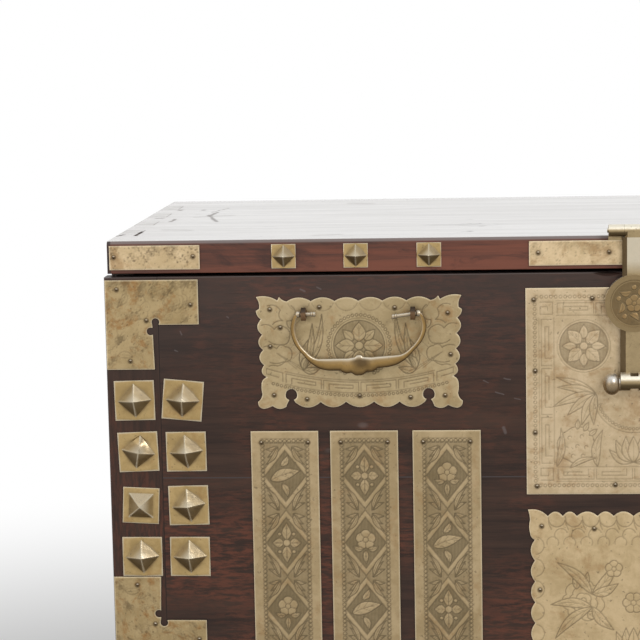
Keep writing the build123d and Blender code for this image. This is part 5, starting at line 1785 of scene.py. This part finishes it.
class BANDAJI_OT_stage(Operator):
    """Set the pale floor, the soft light and the camera"""
    bl_idname = "bandaji.stage"
    bl_label = "Stage"

    def execute(self, context):
        self.floor()
        self.world()
        self.lamp("key", (1.9, -2.9, 2.9), (0.1, -0.2, 0.6), 1.3, 62.0)
        self.lamp("fill", (-2.6, -2.6, 1.6), (-0.2, -0.2, 0.6), 2.4, 16.0)
        self.camera()
        context.scene.view_settings.view_transform = "Standard"
        return {"FINISHED"}

    def seen(self, g):
        """1 for camera, glossy and transmission rays, and 0 for the rays that light the chest."""
        rays = g.add("ShaderNodeLightPath").outputs
        direct = g.plus(rays["Is Camera Ray"], rays["Is Glossy Ray"])
        return g.plus(direct, rays["Is Transmission Ray"], clamp=True)

    def floor(self):
        """A flat polygon of many sides; seen by the camera it fades into white away from the chest."""
        reach, sides = 9.0, 96
        turn = np.linspace(0.0, 2 * math.pi, sides, endpoint=False)
        points = np.stack((reach * np.cos(turn), reach * np.sin(turn), np.zeros(sides)), -1)
        mesh = bpy.data.meshes.new("floor")
        mesh.from_pydata(points.tolist(), [], [list(range(sides))])
        look = bpy.data.materials.new("pale_floor")
        look.use_nodes = True
        look.node_tree.nodes.clear()
        g = Graph(look.node_tree)
        diffuse = g.add("ShaderNodeBsdfDiffuse")
        diffuse.inputs["Color"].default_value = (0.86, 0.86, 0.855, 1.0)
        far = g.smooth(g.vector("LENGTH", g.add("ShaderNodeTexCoord").outputs["Object"]), 1.1, 2.6)
        blend = g.add("ShaderNodeMixShader")
        blended = (g.times(far, self.seen(g)), diffuse.outputs[0], g.add("ShaderNodeEmission").outputs[0])
        for socket, value in zip(blend.inputs, blended):
            g.put(socket, value)
        g.fill(g.add("ShaderNodeOutputMaterial"), Surface=blend.outputs[0])
        mesh.materials.append(look)
        linked("floor", mesh)

    def world(self):
        """White for camera, glossy and transmission rays, and a soft grey light otherwise."""
        world = bpy.data.worlds.new("studio")
        world.use_nodes = True
        g = Graph(world.node_tree)
        strength = g.plus(0.52, g.times(self.seen(g), 0.48))
        g.fill(world.node_tree.nodes["Background"], Color=(1.0, 1.0, 1.0, 1.0), Strength=strength)
        bpy.context.scene.world = world

    def lamp(self, name, place, target, size, power):
        light = bpy.data.lights.new(name, "AREA")
        light.shape = "DISK"
        light.size = size
        light.energy = power
        lamp = linked(name, light)
        lamp.location = place
        lamp.rotation_euler = (Vector(target) - Vector(place)).to_track_quat("-Z", "Y").to_euler()

    def camera(self):
        """Looks at the upper left of the front from a little above, turned by yaw, pitch and roll."""
        yaw, pitch, roll = (math.radians(a) for a in (4.447, 7.719, 1.127))
        right = Vector((math.cos(yaw), math.sin(yaw), 0.0))
        forward = Vector((-math.sin(yaw) * math.cos(pitch), math.cos(yaw) * math.cos(pitch),
                          -math.sin(pitch)))
        up = right.cross(forward)
        across = right * math.cos(roll) - up * math.sin(roll)
        above = right * math.sin(roll) + up * math.cos(roll)
        turn = Matrix((across, above, -forward)).transposed().to_4x4()
        place = Vector((-0.1292, FACE_Y - 2.012, TOP_Z + 0.1989))
        focal_length = 3.4628125      # in widths of the picture
        lens = bpy.data.cameras.new("camera")
        lens.sensor_width = 36.0
        lens.lens = focal_length * lens.sensor_width
        camera = linked("camera", lens)
        camera.matrix_world = Matrix.Translation(place) @ turn
        bpy.context.scene.camera = camera


class BANDAJI_PT_panel(Panel):
    """Lists the sizes, the colours and one button for each group of pieces"""
    bl_idname = "BANDAJI_PT_panel"
    bl_label = "Bandaji chest"
    bl_space_type = "VIEW_3D"
    bl_region_type = "UI"
    bl_category = "Bandaji"

    def draw(self, context):
        for settings in (context.scene.bandaji_sizes, context.scene.bandaji_colours):
            box = self.layout.box()
            for name in settings.__annotations__:
                box.prop(settings, name)
        for operator in OPERATORS:
            self.layout.operator(operator.bl_idname)


OPERATORS = (
    BANDAJI_OT_materials, BANDAJI_OT_lock_plate, BANDAJI_OT_handle_plates, BANDAJI_OT_centre_plates,
    BANDAJI_OT_straps, BANDAJI_OT_corner_plates, BANDAJI_OT_edge_strips, BANDAJI_OT_studs, BANDAJI_OT_bails,
    BANDAJI_OT_hasp, BANDAJI_OT_nails, BANDAJI_OT_stage,
)
CLASSES = (BandajiSizes, BandajiColours, *OPERATORS, BANDAJI_PT_panel)


def register():
    for cls in CLASSES:
        bpy.utils.register_class(cls)
    bpy.types.Scene.bandaji_sizes = PointerProperty(type=BandajiSizes)
    bpy.types.Scene.bandaji_colours = PointerProperty(type=BandajiColours)


def unregister():
    del bpy.types.Scene.bandaji_colours
    del bpy.types.Scene.bandaji_sizes
    for cls in reversed(CLASSES):
        bpy.utils.unregister_class(cls)


def main():
    register()
    for operator in OPERATORS:
        group, action = operator.bl_idname.split(".")
        getattr(getattr(bpy.ops, group), action)()


if __name__ == "__main__":
    main()
